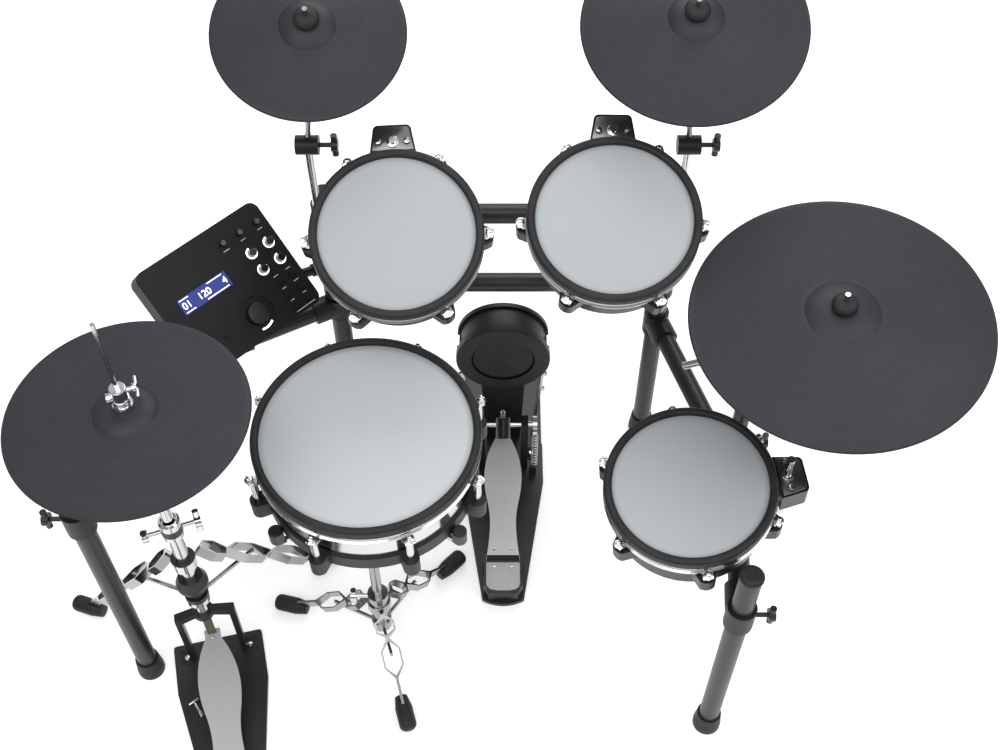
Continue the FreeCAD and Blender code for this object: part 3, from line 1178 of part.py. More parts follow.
def build_kick_pedal():
    at = kick_at
    low = d.plate_thickness
    top = d.axle_z + d.post_depth / 2
    posts = []
    for i, x in enumerate((-d.post_half, d.post_half)):
        body = box("kick_post%d_block" % i, (d.post_width, d.post_depth, top - low),
                   (x, d.axle_y, (low + top) / 2), at)
        bore = cylinder("kick_post%d_bore" % i, d.axle_radius + d.gap,
                        (x - d.post_width, d.axle_y, d.axle_z),
                        (x + d.post_width, d.axle_y, d.axle_z), at)
        posts.append(cut("kick_post%d" % i, body, bore))
    anchor_y = d.axle_y - d.spring_arm
    foot = box("kick_spring_foot", (d.spring_radius * 2, d.spring_radius * 2, d.spring_base_z - low),
               (d.spring_x - d.spring_radius, anchor_y, (d.spring_base_z + low) / 2), at)
    node("kick_pedal_base", pedal_plate("kick_plate", at), foot, heel_block("kick_heel", at), *posts)
    footboard("kick_footboard", at)
    lean_at = at.multiply(frame((0, d.axle_y, d.axle_z), d.beater_lean_angle))
    axle = cylinder("kick_axle_bar", d.axle_radius, (-d.axle_half, d.axle_y, d.axle_z),
                    (d.spring_x - d.hub_half, d.axle_y, d.axle_z), at)
    cam = cut("kick_cam", cylinder("kick_cam_disc", d.cam_radius, (-d.cam_half, d.axle_y, d.axle_z),
                                   (d.cam_half, d.axle_y, d.axle_z), at),
              box("kick_cam_cut", (d.cam_half * 3, d.cam_radius, d.cam_radius * 2),
                  (0, d.axle_y - d.cam_radius, d.axle_z), at))
    hub = cylinder("kick_hub", d.hub_ring, (d.spring_x - d.hub_half, d.axle_y, d.axle_z),
                   (d.spring_x, d.axle_y, d.axle_z), at)
    crank = box("kick_crank", (d.hub_half, d.spring_arm, d.hub_half),
                (d.spring_x - d.hub_half / 2, d.axle_y - d.spring_arm / 2, d.axle_z), at)
    peg = cylinder("kick_peg", d.pin_radius, (d.spring_x - d.hub_half, anchor_y, d.axle_z),
                   (d.spring_x, anchor_y, d.axle_z), at)
    clamp = cylinder("kick_beater_clamp", d.beater_clamp, (0, 0, -d.beater_clamp), (0, 0, d.cam_radius),
                     lean_at)
    node("kick_axle", fuse("kick_axle_solid", axle, cam, hub, crank, peg, clamp))
    rod = cylinder("kick_beater_rod", d.beater_rod, (0, 0, d.cam_radius + d.gap),
                   (0, 0, d.beater_length), lean_at)
    face = frame((0, 0, d.beater_length), FULL_TURN / 4)
    reach, r = d.beater_head_half, d.beater_head_radius
    head = turned("kick_beater_head", [
        (0, -reach), (r - d.rim_lip, -reach), (r, -reach + d.rim_lip, r - d.gap * 3, -reach + d.gap * 3),
        (r, reach - d.rim_lip), (r - d.rim_lip, reach, r - d.gap * 3, reach - d.gap * 3), (0, reach)],
        lean_at.multiply(face))
    node("kick_beater", fuse("kick_beater_solid", rod, head))
    chain_y = d.axle_y + d.cam_radius + d.chain_thick / 2 + d.gap
    foot_z = on_board(chain_y)
    links = []
    count = 5
    run = d.axle_z - foot_z
    for i in range(count):
        z = foot_z + run * (i + 0.5) / count
        links.append(box("kick_link%d" % i, (d.chain_width, d.chain_thick, run / count + d.gap),
                         (0, chain_y, z), at))
        links.append(cylinder("kick_roller%d" % i, d.chain_thick / 2 + d.gap,
                              (-d.chain_width * ROLLER_SHARE, chain_y, z),
                              (d.chain_width * ROLLER_SHARE, chain_y, z), at))
    node("kick_chain", fuse("kick_chain_solid", *links))
    spring_at = at.multiply(frame((d.spring_x - d.hub_half / 2, anchor_y, 0)))
    node("kick_spring", coil("kick_spring_coil", d.spring_radius - d.spring_wire, d.spring_wire,
                             d.spring_turns,
                             d.spring_base_z + d.spring_wire + d.gap,
                             d.axle_z - d.hub_half / 2 - d.spring_wire - d.gap, spring_at))


def build_hihat_pedal():
    at = hat_at
    low = d.plate_thickness
    pedal_at = at.multiply(frame((0, -d.hat_pedal_back, 0)))
    node("hihat_base", pedal_plate("hihat_plate", pedal_at), heel_block("hihat_heel", pedal_at))
    footboard("hihat_footboard", pedal_at)
    side, bar = d.yoke_half, d.yoke_bar
    top = d.yoke_top
    shoulder = top - d.yoke_rise - bar
    bore = d.hat_tube_radius + d.gap
    yoke = plate("hihat_yoke_arch", [
        (-side, low), (-side + bar, low), (-side + bar, shoulder), (-bar, top - bar),
        (bar, top - bar),
        (side - bar, shoulder), (side - bar, low), (side, low),
        (side, top - d.yoke_rise + d.rim_lip),
        (bar * YOKE_TOP_SHARE, top), (-bar * YOKE_TOP_SHARE, top),
        (-side, top - d.yoke_rise + d.rim_lip)],
        bar * YOKE_DEPTH_SHARE, at, "XZ_Plane", True)
    collar = cylinder("hihat_yoke_collar", bore + d.rim_lip * 2, (0, 0, top - bar), (0, 0, top), at)
    node("hihat_yoke", cut("hihat_yoke_solid", fuse("hihat_yoke_whole", yoke, collar), cylinder(
        "hihat_yoke_bore", bore, (0, 0, d.yoke_top - bar - d.overrun), (0, 0, d.yoke_top + d.overrun),
        at)))
    foot_z, rod_end = on_board(d.hat_pedal_back), d.hat_tube_base - d.yoke_rise / 2 - d.gap
    node("hihat_strap", box("hihat_strap_band", (d.strap_width, d.strap_thick, rod_end - foot_z),
                            (0, 0, (rod_end + foot_z) / 2), at))


# Kick: a round pad on a tower with a base plate and two side stays.

def build_kick():
    base_front = d.kick_plate_y + d.plate_front + d.gap
    half, corner = d.base_half_x, d.base_corner
    soft = corner * QUARTER_ROUND_SHARE
    base = plate("kick_base", [
        (-half, base_front), (half, base_front), (half, d.base_back - corner),
        (half - corner, d.base_back, half - soft, d.base_back - soft), (-half + corner, d.base_back),
        (-half, d.base_back - corner, -half + soft, d.base_back - soft)], d.base_thickness)
    pad_at = frame((0, d.pad_y, d.pad_z), FULL_TURN / 4)
    column = plate("kick_column", [
        (-d.tower_half_base, d.base_thickness), (d.tower_half_base, d.base_thickness),
        (d.tower_half_top, d.pad_z - d.tower_half_top),
        (-d.tower_half_top, d.pad_z - d.tower_half_top)], d.tower_depth, frame((0, d.tower_y, 0)),
        "XZ_Plane", True)
    space = cylinder("kick_column_space", d.pad_can + d.gap, (0, 0, -d.pad_depth - d.tower_depth),
                     (0, 0, d.tower_depth), pad_at)
    node("kick_base_plate", base)
    node("kick_tower", cut("kick_tower_solid", column, space))
    r, depth = d.pad_radius, d.pad_depth
    inner = r - d.pad_ring
    floor = -d.pad_recess - d.pad_face_thickness
    can = turned("kick_can", [
        (0, -depth), (d.pad_flange, -depth), (d.pad_flange, -depth + d.pad_flange_depth),
        (d.pad_can, -depth + d.pad_flange_depth),
        (d.pad_can, -d.pad_ring_depth), (r, -d.pad_ring_depth), (r, -d.rim_lip),
        (r - d.rim_lip, 0, r - d.gap * 3, -d.gap * 3),
        (inner, 0), (inner, floor - d.gap), (0, floor - d.gap)], pad_at)
    edge = inner - d.gap
    face = turned("kick_face", [(0, floor), (edge, floor), (edge, -d.pad_recess - d.rim_lip),
                                (edge - d.rim_lip, -d.pad_recess), (0, -d.pad_recess)], pad_at)
    node("kick_pad", can)
    node("kick_pad_face", face)
    top = d.pad_can + d.stay_thickness - d.gap
    stays = []
    for i, side in enumerate((-1, 1)):
        foot, head = (d.stay_half * side, d.stay_y, d.base_thickness), (top * side, d.stay_y,
                d.pad_z + d.stay_above)
        way = unit(foot, head)
        middle = tuple((a + b) / 2 for a, b in zip(foot, head))
        bar = box("kick_stay%d_bar" % i, (d.stay_thickness, d.stay_width, span(foot, head)), middle,
                  WORLD, way)
        out = Vector(way.z * side, 0, -way.x * side)
        heads = []
        for j, part in enumerate(STAY_SCREW_SHARES):
            seat = along(along(foot, way, span(foot, head) * part), out, d.stay_thickness / 2)
            heads.append(cylinder("kick_stay%d_screw%d" % (i, j), d.stay_screw,
                                  along(seat, out, -d.overrun / 3),
                                  along(seat, out, d.stay_screw_out)))
        level = box("kick_stay%d_level" % i, (d.stay_width, d.stay_width * 2, d.stay_thickness * 2),
                    (foot[0], foot[1], d.base_thickness - d.stay_thickness))
        stays.append(cut("kick_stay%d" % i, fuse("kick_stay%d_solid" % i, bar, *heads), level))
    node("kick_stays", *stays)


build_kick_pedal()
build_hihat_pedal()
build_kick()


# Sound module on a hinged bracket, on the left of the kit.

module_at = frame((d.module_x, d.module_y, d.module_z), d.module_tilt, d.module_turn)
KNOB_SHARES = ((0.268, 0.14), (0.416, 0.14), (0.268, -0.022), (0.416, -0.022))
SMALL_KNOB_SHARES = ((0.134, 0.333), (0.275, 0.333), (0.42, 0.333))
BUTTON_SHARES = ((0.315, -0.185), (0.42, -0.185), (0.315, -0.304), (0.42, -0.304), (0.315, -0.422),
                 (0.42, -0.422), (-0.21, -0.308))
DIAL_SHARE = (0.05, -0.294)
DISPLAY_SHARE = (-0.164, 0.083)


def on_panel(share):
    return d.module_width * share[0], d.module_depth * share[1]


def rounded(width, depth, corner):
    """A rectangle with round corners, about the middle."""
    w, h = width / 2, depth / 2
    near = corner * QUARTER_ROUND_SHARE
    return [(-w + corner, -h, -w + near, -h + near), (w - corner, -h),
            (w, -h + corner, w - near, -h + near),
            (w, h - corner), (w - corner, h, w - near, h - near), (-w + corner, h),
            (-w, h - corner, -w + near, h - near), (-w, -h + corner)]


def build_module():
    at = module_at
    height = d.module_height
    outline = rounded(d.module_width, d.module_depth, d.module_corner)
    case = plate("module_block", outline, height, at.multiply(frame((0, 0, -height))))
    dial_x, dial_y = on_panel(DIAL_SHARE)
    cuts = [cylinder("module_dial_recess", d.dial_recess, (dial_x, dial_y, -d.dial_sink),
                     (dial_x, dial_y, d.overrun), at)]
    slot = (d.button_width + d.gap * 2, d.button_depth + d.gap * 2, d.button_sink + d.overrun)
    buttons = []
    for i, share in enumerate(BUTTON_SHARES):
        x, y = on_panel(share)
        cuts.append(box("module_slot%d" % i, slot, (x, y, (d.overrun - d.button_sink) / 2), at))
        tall = d.button_height + d.button_root
        buttons.append(box("module_button%d" % i, (d.button_width, d.button_depth, tall),
                           (x, y, d.button_height - tall / 2), at))
    back = -height - d.gap
    axis_z = back - d.bracket_thickness - d.hinge_drop
    base = box("module_plate", (d.bracket_plate, d.bracket_plate, d.bracket_thickness),
               (0, 0, back - d.bracket_thickness / 2), at)
    cheek_x = d.hinge_half + d.gap + d.cheek_thickness / 2
    cheek_tall = d.hinge_drop + d.bracket_radius
    cheeks = [box("module_cheek%d" % i, (d.cheek_thickness, d.bracket_radius * 2, cheek_tall),
                  (x, 0, back - d.bracket_thickness - cheek_tall / 2), at) for i,
                  x in enumerate((-cheek_x, cheek_x))]
    node("module_case", cut("module_case_solid", case, *cuts), fuse("module_hinge", base, *cheeks))
    x, y = on_panel(DISPLAY_SHARE)
    node("module_display", box("module_screen", (d.display_width, d.display_depth, d.display_proud),
                               (x, y, d.gap + d.display_proud / 2), at))
    knobs = []
    for i, share in enumerate(KNOB_SHARES):
        knobs.append(module_knob("module_knob%d" % i, on_panel(share), d.knob_radius, d.knob_height,
                                 d.gap))
    for i, share in enumerate(SMALL_KNOB_SHARES):
        knobs.append(module_knob("module_small_knob%d" % i, on_panel(share), d.small_knob_radius,
                                 d.small_knob_height, d.gap))
    node("module_knobs", *knobs)
    node("module_dial", module_knob("module_dial_knob", (dial_x, dial_y), d.dial_radius, d.dial_height,
                                    d.gap - d.dial_sink))
    node("module_buttons", *buttons)
    axis = (0, 0, axis_z)
    barrel = cylinder("bracket_barrel", d.bracket_radius, (-d.hinge_half, 0, axis_z),
                      (d.hinge_half, 0, axis_z), at)
    stem_end = axis_z - d.bracket_stem
    stem = cylinder("bracket_stem", d.bracket_radius, axis, (0, 0, stem_end), at)
    bend = sized(in_world(at, (0, 0, stem_end)))
    on_post = left_post + (d.bracket_z,)
    seat_way = unit(on_post, bend)
    level = math.hypot(seat_way.x, seat_way.y)
    rod_end = along(on_post, seat_way,
                    (d.tube_radius + d.gap * 2 + d.bracket_radius * abs(seat_way.z)) / level)
    run = cylinder("bracket_run", d.bracket_radius, bend, rod_end)
    corner = ball("bracket_corner", d.bracket_radius * BEND_SHARE, bend)
    node("module_bracket", fuse("bracket_solid", barrel, stem, run, corner))
    bar_grip("module_grip", on_post, UP, seat_way, d.bracket_radius)
    rear = Vector(0, 1, 0)
    wing_screw("module_grip_screw", along(on_post, rear, d.tube_radius + d.clamp_wall), rear)


def module_knob(name, place, radius, height, base):
    """A turned knob with a slight taper and a rounded top edge."""
    top = radius * KNOB_TOP_SHARE
    return turned(name, [
        (0, 0), (radius, 0), (top, height - d.edge_roll / 2), (top - d.edge_roll / 2, height),
        (0, height)],
        module_at.multiply(frame((place[0], place[1], base))))


build_module()

node("rack_clamps", *clamps)
node("rack_screws", *screws)
node("cymbal_poles", *poles)
node("cymbal_holders", *holders)


# Check every object, then write one file for each named sub-part.

doc.recompute()
failed = [obj.Name for obj in doc.Objects if "Invalid" in obj.State or "Error" in obj.State]
broken = [obj.Label for obj in nodes if obj.Shape.isNull() or not obj.Shape.isValid()]
if failed or broken:
    raise SystemExit("objects not made: %s, bad shapes: %s" % (failed, broken))
os.makedirs("parts", exist_ok=True)
for obj in nodes:
    obj.Shape.exportStep("parts/%s.step" % obj.Label)
print("%d sub-parts written" % len(nodes))
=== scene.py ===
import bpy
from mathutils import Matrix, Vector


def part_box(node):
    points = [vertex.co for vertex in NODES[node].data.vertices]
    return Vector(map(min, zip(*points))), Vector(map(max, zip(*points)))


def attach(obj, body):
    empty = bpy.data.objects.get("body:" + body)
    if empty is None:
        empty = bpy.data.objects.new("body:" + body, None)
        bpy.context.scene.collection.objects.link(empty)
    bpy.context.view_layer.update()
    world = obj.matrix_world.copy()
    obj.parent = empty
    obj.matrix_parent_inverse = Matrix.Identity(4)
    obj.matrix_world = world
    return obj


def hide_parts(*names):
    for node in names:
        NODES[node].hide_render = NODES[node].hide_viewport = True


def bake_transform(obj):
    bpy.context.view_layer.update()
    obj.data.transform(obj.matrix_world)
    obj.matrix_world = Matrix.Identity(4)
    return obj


bl_info = {
    "name": "Electronic drum kit dressing",
    "version": (1, 0, 0),
    "blender": (4, 5, 0),
    "location": "View3D > Sidebar > Drum Kit",
    "description": "Finishes, fittings and studio for the packed electronic drum kit",
    "category": "Object",
}

import math

import bmesh
import bpy
from mathutils import Matrix, Vector

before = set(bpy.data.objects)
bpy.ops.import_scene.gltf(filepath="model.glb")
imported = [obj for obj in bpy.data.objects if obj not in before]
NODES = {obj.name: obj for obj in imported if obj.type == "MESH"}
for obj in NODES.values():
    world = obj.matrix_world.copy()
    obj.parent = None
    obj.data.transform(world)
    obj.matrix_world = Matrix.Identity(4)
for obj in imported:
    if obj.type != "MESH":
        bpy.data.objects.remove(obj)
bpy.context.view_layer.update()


# Places of the pieces at rest, in metres and degrees.

def leaning(centre, tilt=0.0, turn=0.0, spin=0.0):
    """A frame whose Z leans to the player by tilt, turned about the upright, then about its own Z."""
    return (Matrix.Translation(centre) @ Matrix.Rotation(math.radians(turn), 4, "Z")
            @ Matrix.Rotation(math.radians(tilt), 4, "X") @ Matrix.Rotation(math.radians(spin), 4, "Z"))


HAT_AXIS, SNARE_AXIS = (-0.542, -0.530), (-0.232, -0.480)
TOM = dict(shell=0.127, inner=0.1235, lugs=6, first=0.0, circle=0.1413)
DRUMS = {
    "tom1": dict(TOM, at=leaning((-0.167, -0.215, 0.827), 27, 4), body="tom1"),
    "tom2": dict(TOM, at=leaning((0.172, -0.199, 0.843), 23, -1), body="tom2"),
    "tom3": dict(TOM, at=leaning((0.294, -0.512, 0.567), 9, -33, -50.4), body="tom3"),
    "snare": dict(at=leaning((-0.220, -0.431, 0.594), 3), shell=0.174, inner=0.1715, lugs=8, first=22.5,
                  circle=0.1925, body="snare"),
}
CYMBALS = {
    "crash_left": dict(at=leaning((-0.299, 0.004, 1.040), 22, 8), radius=0.151, bell=0.044),
    "crash_right": dict(at=leaning((0.296, 0.034, 1.030), 19, -7), radius=0.178, bell=0.044),
    "ride": dict(at=leaning((0.507, -0.365, 0.796), 7, -31), radius=0.2285, bell=0.057),
    "hihat_top": dict(at=leaning((*HAT_AXIS, 0.779)), radius=0.178, bell=0.048),
    "hihat_bottom": dict(at=leaning((*HAT_AXIS, 0.765)), radius=0.166, bell=0.048),
}
KICK_PEDAL = leaning((0.0, -0.092, 0.0))
HAT_BACK = 0.016
HAT_PEDAL = leaning((*HAT_AXIS, 0.0), 0, 13.6) @ Matrix.Translation((0.0, -HAT_BACK, 0.0))
MODULE = leaning((-0.455, -0.189, 0.668), 38, 45.5)
MODULE_WIDE, MODULE_DEEP = 0.248, 0.204
HINGE_Y, HINGE_Z, BOARD_RISE = -0.2505, 0.033, 10.0

# Turns that lay a bar, made along Z, along another axis.
ALONG_X, ALONG_Y = Matrix.Rotation(math.pi / 2, 4, "Y"), Matrix.Rotation(math.pi / 2, 4, "X")
FULL_TURN = 2.0 * math.pi

# Marks on the module: shares of its width and depth, then a mark's length.
LIT_KNOBS = ((0.268, 0.14), (0.416, 0.14), (0.268, -0.022), (0.416, -0.022))
DIAL_PLACE, SCREEN_PLACE = (0.05, -0.294), (-0.164, 0.083)
PANEL_MARKS = ((0.134, 0.27, 0.012), (0.275, 0.27, 0.010), (0.42, 0.27, 0.010), (0.315, -0.125, 0.010),
               (0.42, -0.125, 0.010), (0.315, -0.245, 0.008), (0.42, -0.245, 0.010), (0.315, -0.365, 0.008),
               (0.42, -0.365, 0.008), (0.37, -0.468, 0.040))
MARK_WIDTH, MARK_HEIGHT = 0.0013, 0.0003

# Numbers and bars on the display: places from its middle, then a bar's length.
SCREEN_NUMBERS, NUMBER_LOW, NUMBER_TALL = (("01", -0.045), ("120", -0.014), ("4", 0.036)), -0.0056, 0.017
SCREEN_BARS = ((-0.036, 0.0112, 0.018), (0.026, 0.0112, 0.030), (-0.036, -0.0112, 0.018),
               (0.020, -0.0112, 0.044))

# Studio: lights by name, place, size and power; the sky's brightness by height.
LIGHTS = (("key", (-0.9, -2.0, 3.5), 3.2, 85.0), ("fill", (2.2, -1.2, 3.0), 2.4, 50.0),
          ("rear", (0.2, 2.2, 3.2), 2.8, 75.0))
LIT_PLACE = Vector((0, -0.25, 0.5))
SKY, SKY_STRENGTH = ((0.07, 0.88), (0.16, 0.28), (0.34, 0.55), (0.62, 0.42), (0.80, 0.95)), 0.75
FLOOR_HALF, FLOOR_GLOW = 100.0, 0.35
CAMERA_PLACE, CAMERA_DOWN, CAMERA_LENS, SENSOR_WIDE = (-0.006, -1.620, 2.300), 52.57, 46.8, 36.0


# Settings that a user would change.

class DrumKitFinish(bpy.types.PropertyGroup):
    rubber: bpy.props.FloatVectorProperty(
        name="Rubber", description="Colour of rims, feet and grips", subtype="COLOR", size=3,
        default=(0.012, 0.0115, 0.0125), min=0, max=1)
    cymbal: bpy.props.FloatVectorProperty(
        name="Cymbal rubber", description="Colour of the cymbal pads", subtype="COLOR", size=3,
        default=(0.0195, 0.0195, 0.0245), min=0, max=1)
    tube: bpy.props.FloatVectorProperty(
        name="Rack coating", description="Colour of the rack's tubes", subtype="COLOR", size=3,
        default=(0.013, 0.0125, 0.0135), min=0, max=1)
    moulding: bpy.props.FloatVectorProperty(
        name="Moulding", description="Colour of clamps, housings and knobs", subtype="COLOR", size=3,
        default=(0.006, 0.0058, 0.0066), min=0, max=1)
    head: bpy.props.FloatVectorProperty(
        name="Mesh head", description="Colour of the toms' woven heads", subtype="COLOR", size=3,
        default=(0.340, 0.362, 0.375), min=0, max=1)
    chrome: bpy.props.FloatVectorProperty(
        name="Plating", description="Colour of plated metal", subtype="COLOR", size=3,
        default=(0.62, 0.62, 0.63), min=0, max=1)
    # Stand plating: the same chrome as the rest, made darker as painted shade.
    strip: bpy.props.FloatVectorProperty(
        name="Stand plating", description="Colour of the stands' plated legs and posts", subtype="COLOR",
        size=3, default=(0.36, 0.36, 0.37), min=0, max=1)
    # Snare head: a lighter copy of the toms' mesh colour, painted light that lifts the shade falling on the
    # snare.
    snare_head: bpy.props.FloatVectorProperty(
        name="Snare head", description="Colour of the snare's woven head", subtype="COLOR", size=3,
        default=(0.420, 0.445, 0.458), min=0, max=1)
    alloy: bpy.props.FloatVectorProperty(
        name="Heel alloy", description="Colour of the brushed heel plates", subtype="COLOR", size=3,
        default=(0.44, 0.44, 0.45), min=0, max=1)
    # Kick board: the heels' brushed alloy made lighter, painted light that lifts the shade the kit casts on
    # the board.
    kick_board_painted_light: bpy.props.FloatVectorProperty(
        name="Kick board", description="Colour of the kick pedal's brushed board", subtype="COLOR", size=3,
        default=(0.63, 0.63, 0.64), min=0, max=1)
    # Hi-hat board: the heels' brushed alloy made darker, painted shade; both boards are the same alloy as the
    # heel plates.
    hihat_board_painted_shade: bpy.props.FloatVectorProperty(
        name="Hi-hat board", description="Colour of the hi-hat pedal's brushed board", subtype="COLOR",
        size=3, default=(0.345, 0.345, 0.355), min=0, max=1)
    screen: bpy.props.FloatVectorProperty(
        name="Display", description="Colour of the lit display", subtype="COLOR", size=3,
        default=(0.035, 0.050, 0.26), min=0, max=1)


class DrumKitSizes(bpy.types.PropertyGroup):
    groove: bpy.props.FloatProperty(
        name="Groove pitch", description="Distance between a cymbal pad's round grooves",
        default=0.0030, min=0.0005, unit="LENGTH")
    weave: bpy.props.FloatProperty(
        name="Weave pitch", description="Distance between a mesh head's threads",
        default=0.0011, min=0.0003, unit="LENGTH")
    crown: bpy.props.FloatProperty(
        name="Head crown", description="How far the sensor's cone lifts a head's middle",
        default=0.0005, min=0.0, unit="LENGTH")
    bolt: bpy.props.FloatProperty(
        name="Bolt radius", description="Radius of a tension bolt's washer",
        default=0.0058, min=0.002, unit="LENGTH")
    links: bpy.props.IntProperty(
        name="Chain links", description="Links in the kick pedal's chain", default=9, min=3)
    coils: bpy.props.IntProperty(
        name="Spring coils", description="Turns of the kick pedal's spring", default=11, min=3)


def settings():
    return bpy.context.scene.drum_finish, bpy.context.scene.drum_sizes


# Shading: values are wrapped sockets, so shader maths reads as plain expressions.

class Shade:
    """A socket with arithmetic: each operator adds a Math node to the socket's finish."""

    def __init__(self, finish, socket):
        self.finish, self.socket = finish, socket

    def math(self, operation, *others):
        values = dict(enumerate((self,) + others))
        made = self.finish.node("ShaderNodeMath", {"operation": operation}, values)
        return Shade(self.finish, made.outputs[0])

    def __add__(self, other):
        return self.math("ADD", other)

    def __sub__(self, other):
        return self.math("SUBTRACT", other)

    def __rsub__(self, other):
        return self.math("MULTIPLY_ADD", -1.0, other)

    def __mul__(self, other):
        return self.math("MULTIPLY", other)

    __radd__ = __add__
    __rmul__ = __mul__

    def sine(self):
        return self.math("SINE")

    def above(self, edge):
        return self.math("GREATER_THAN", edge)

    def below(self, edge):
        return self.math("LESS_THAN", edge)

    def between(self, low, high):
        return self.above(low) * self.below(high)

    def step(self, low, high):
        """From 0 at low to 1 at high, eased."""
        made = self.finish.node("ShaderNodeMapRange", {"interpolation_type": "SMOOTHSTEP"},
                                {"Value": self, "From Min": low, "From Max": high})
        return Shade(self.finish, made.outputs["Result"])


class Finish:
    """One material: a Principled shader and the nodes that vary it over the surface."""

    def __init__(self, name, colour, roughness, metallic=0.0, **fixed):
        self.material = bpy.data.materials.new(name)
        self.material.use_nodes = True
        self.tree = self.material.node_tree
        self.shader = self.tree.nodes["Principled BSDF"]
        self.colour = tuple(colour) + (1.0,)
        self.shader.inputs["Base Color"].default_value = self.colour
        self.shader.inputs["Roughness"].default_value = roughness
        self.shader.inputs["Metallic"].default_value = metallic
        for socket, value in fixed.items():
            self.shader.inputs[socket.replace("_", " ")].default_value = value

    def node(self, kind, options, values):
        made = self.tree.nodes.new(kind)
        for option, value in options.items():
            setattr(made, option, value)
        for key, value in values.items():
            socket = value.socket if isinstance(value, Shade) else value
            if isinstance(socket, bpy.types.NodeSocket):
                self.tree.links.new(socket, made.inputs[key])
            else:
                made.inputs[key].default_value = socket
        return made

    def place(self, at=None, stretch=(1.0, 1.0, 1.0)):
        """Object coordinates in a piece's own frame, squeezed by stretch."""
        source = self.node("ShaderNodeTexCoord", {}, {}).outputs["Object"]
        at = at or Matrix.Identity(4)
        size = [1.0 / s for s in stretch]
        made = self.node("ShaderNodeMapping", {"vector_type": "TEXTURE"}, {
            "Vector": source, "Location": at.to_translation(), "Rotation": at.to_euler(), "Scale": size})
        return made.outputs["Vector"]

    def axes(self, place):
        made = self.node("ShaderNodeSeparateXYZ", {}, {"Vector": place})
        return [Shade(self, out) for out in made.outputs]

    def noise(self, place, scale, detail=2.0, rough=0.5):
        made = self.node("ShaderNodeTexNoise", {}, {
            "Vector": place, "Scale": scale, "Detail": detail, "Roughness": rough})
        return Shade(self, made.outputs["Fac"])

    def radius(self, place):
        x, y = self.axes(place)[:2]
        return (x * x + y * y).math("SQRT")

    def mix(self, share, first, second):
        made = self.node("ShaderNodeMix", {"data_type": "RGBA"}, {0: share, 6: first, 7: second})
        return made.outputs[2]

    def tint(self, share, second, first=None):
        """Base colour that goes from the finish's own colour to another by share."""
        start = self.colour if first is None else first
        out = self.mix(share, start, second)
        self.tree.links.new(out, self.shader.inputs["Base Color"])
        return out

    def drive(self, socket, shade):
        self.tree.links.new(shade.socket, self.shader.inputs[socket])

    def bump(self, height, strength, distance):
        made = self.node("ShaderNodeBump", {}, {"Height": height, "Strength": strength, "Distance": distance})
        self.tree.links.new(made.outputs["Normal"], self.shader.inputs["Normal"])


def shaded(colour, factor):
    """A colour made darker or lighter, with its alpha."""
    return tuple(min(1.0, c * factor) for c in colour[:3]) + (1.0,)


def satin_coat(name, colour):
    """Powder-coated tube: fine orange peel and slow changes of gloss."""
    made = Finish(name, colour, 0.36, Specular_IOR_Level=0.34)
    at = made.place()
    slow, fine = made.noise(at, 9.0, 3.0), made.noise(at, 700.0, 2.0)
    made.tint(slow, shaded(colour, 1.5), shaded(colour, 0.8))
    made.drive("Roughness", slow * 0.14 + 0.29)
    made.bump(fine, 0.10, 0.0004)
    return made.material


def moulded(name, colour, gloss=0.46, grain=0.16, shine=0.34):
    """Moulded plastic with a fine spark texture."""
    made = Finish(name, colour, gloss, Specular_IOR_Level=shine)
    at = made.place()
    grains, slow = made.noise(at, 1500.0, 1.0), made.noise(at, 14.0, 3.0)
    made.tint(slow, shaded(colour, 1.35), shaded(colour, 0.85))
    made.drive("Roughness", slow * 0.16 + (gloss - 0.08))
    made.bump(grains, grain, 0.0003)
    return made.material


def soft_rubber(name, colour):
    """Matt rubber: soft grain, faint handling marks."""
    made = Finish(name, colour, 0.6, Specular_IOR_Level=0.26)
    at = made.place()
    marks, grains = made.noise(at, 26.0, 4.0, 0.6), made.noise(at, 900.0, 2.0)
    made.tint(marks.step(0.35, 0.75), shaded(colour, 1.7), shaded(colour, 1.0))
    made.drive("Roughness", marks * 0.2 + 0.44)
    made.bump(grains, 0.14, 0.0004)
    return made.material


def plated(name, colour, haze=0.09):
    """Mirror plating with faint wiping marks."""
    made = Finish(name, colour, haze, 1.0)
    at = made.place()
    wipe = made.noise(at, 18.0, 4.0, 0.65)
    made.tint(wipe, shaded(colour, 1.06), shaded(colour, 0.9))
    made.drive("Roughness", wipe * 0.10 + haze)
    return made.material


def brushed(name, colour, at, gloss=0.40):
    """Brushed alloy with its hair lines along the board."""
    made = Finish(name, colour, gloss, 0.12)
    lines = made.noise(made.place(at, (1100.0, 22.0, 1100.0)), 1.0, 3.0, 0.7)
    slow = made.noise(made.place(at), 11.0, 2.0)
    made.tint(lines, shaded(colour, 1.16), shaded(colour, 0.86))
    made.drive("Roughness", lines * 0.16 + slow * 0.08 + (gloss - 0.08))
    made.bump(lines, 0.06, 0.0003)
    return made.material


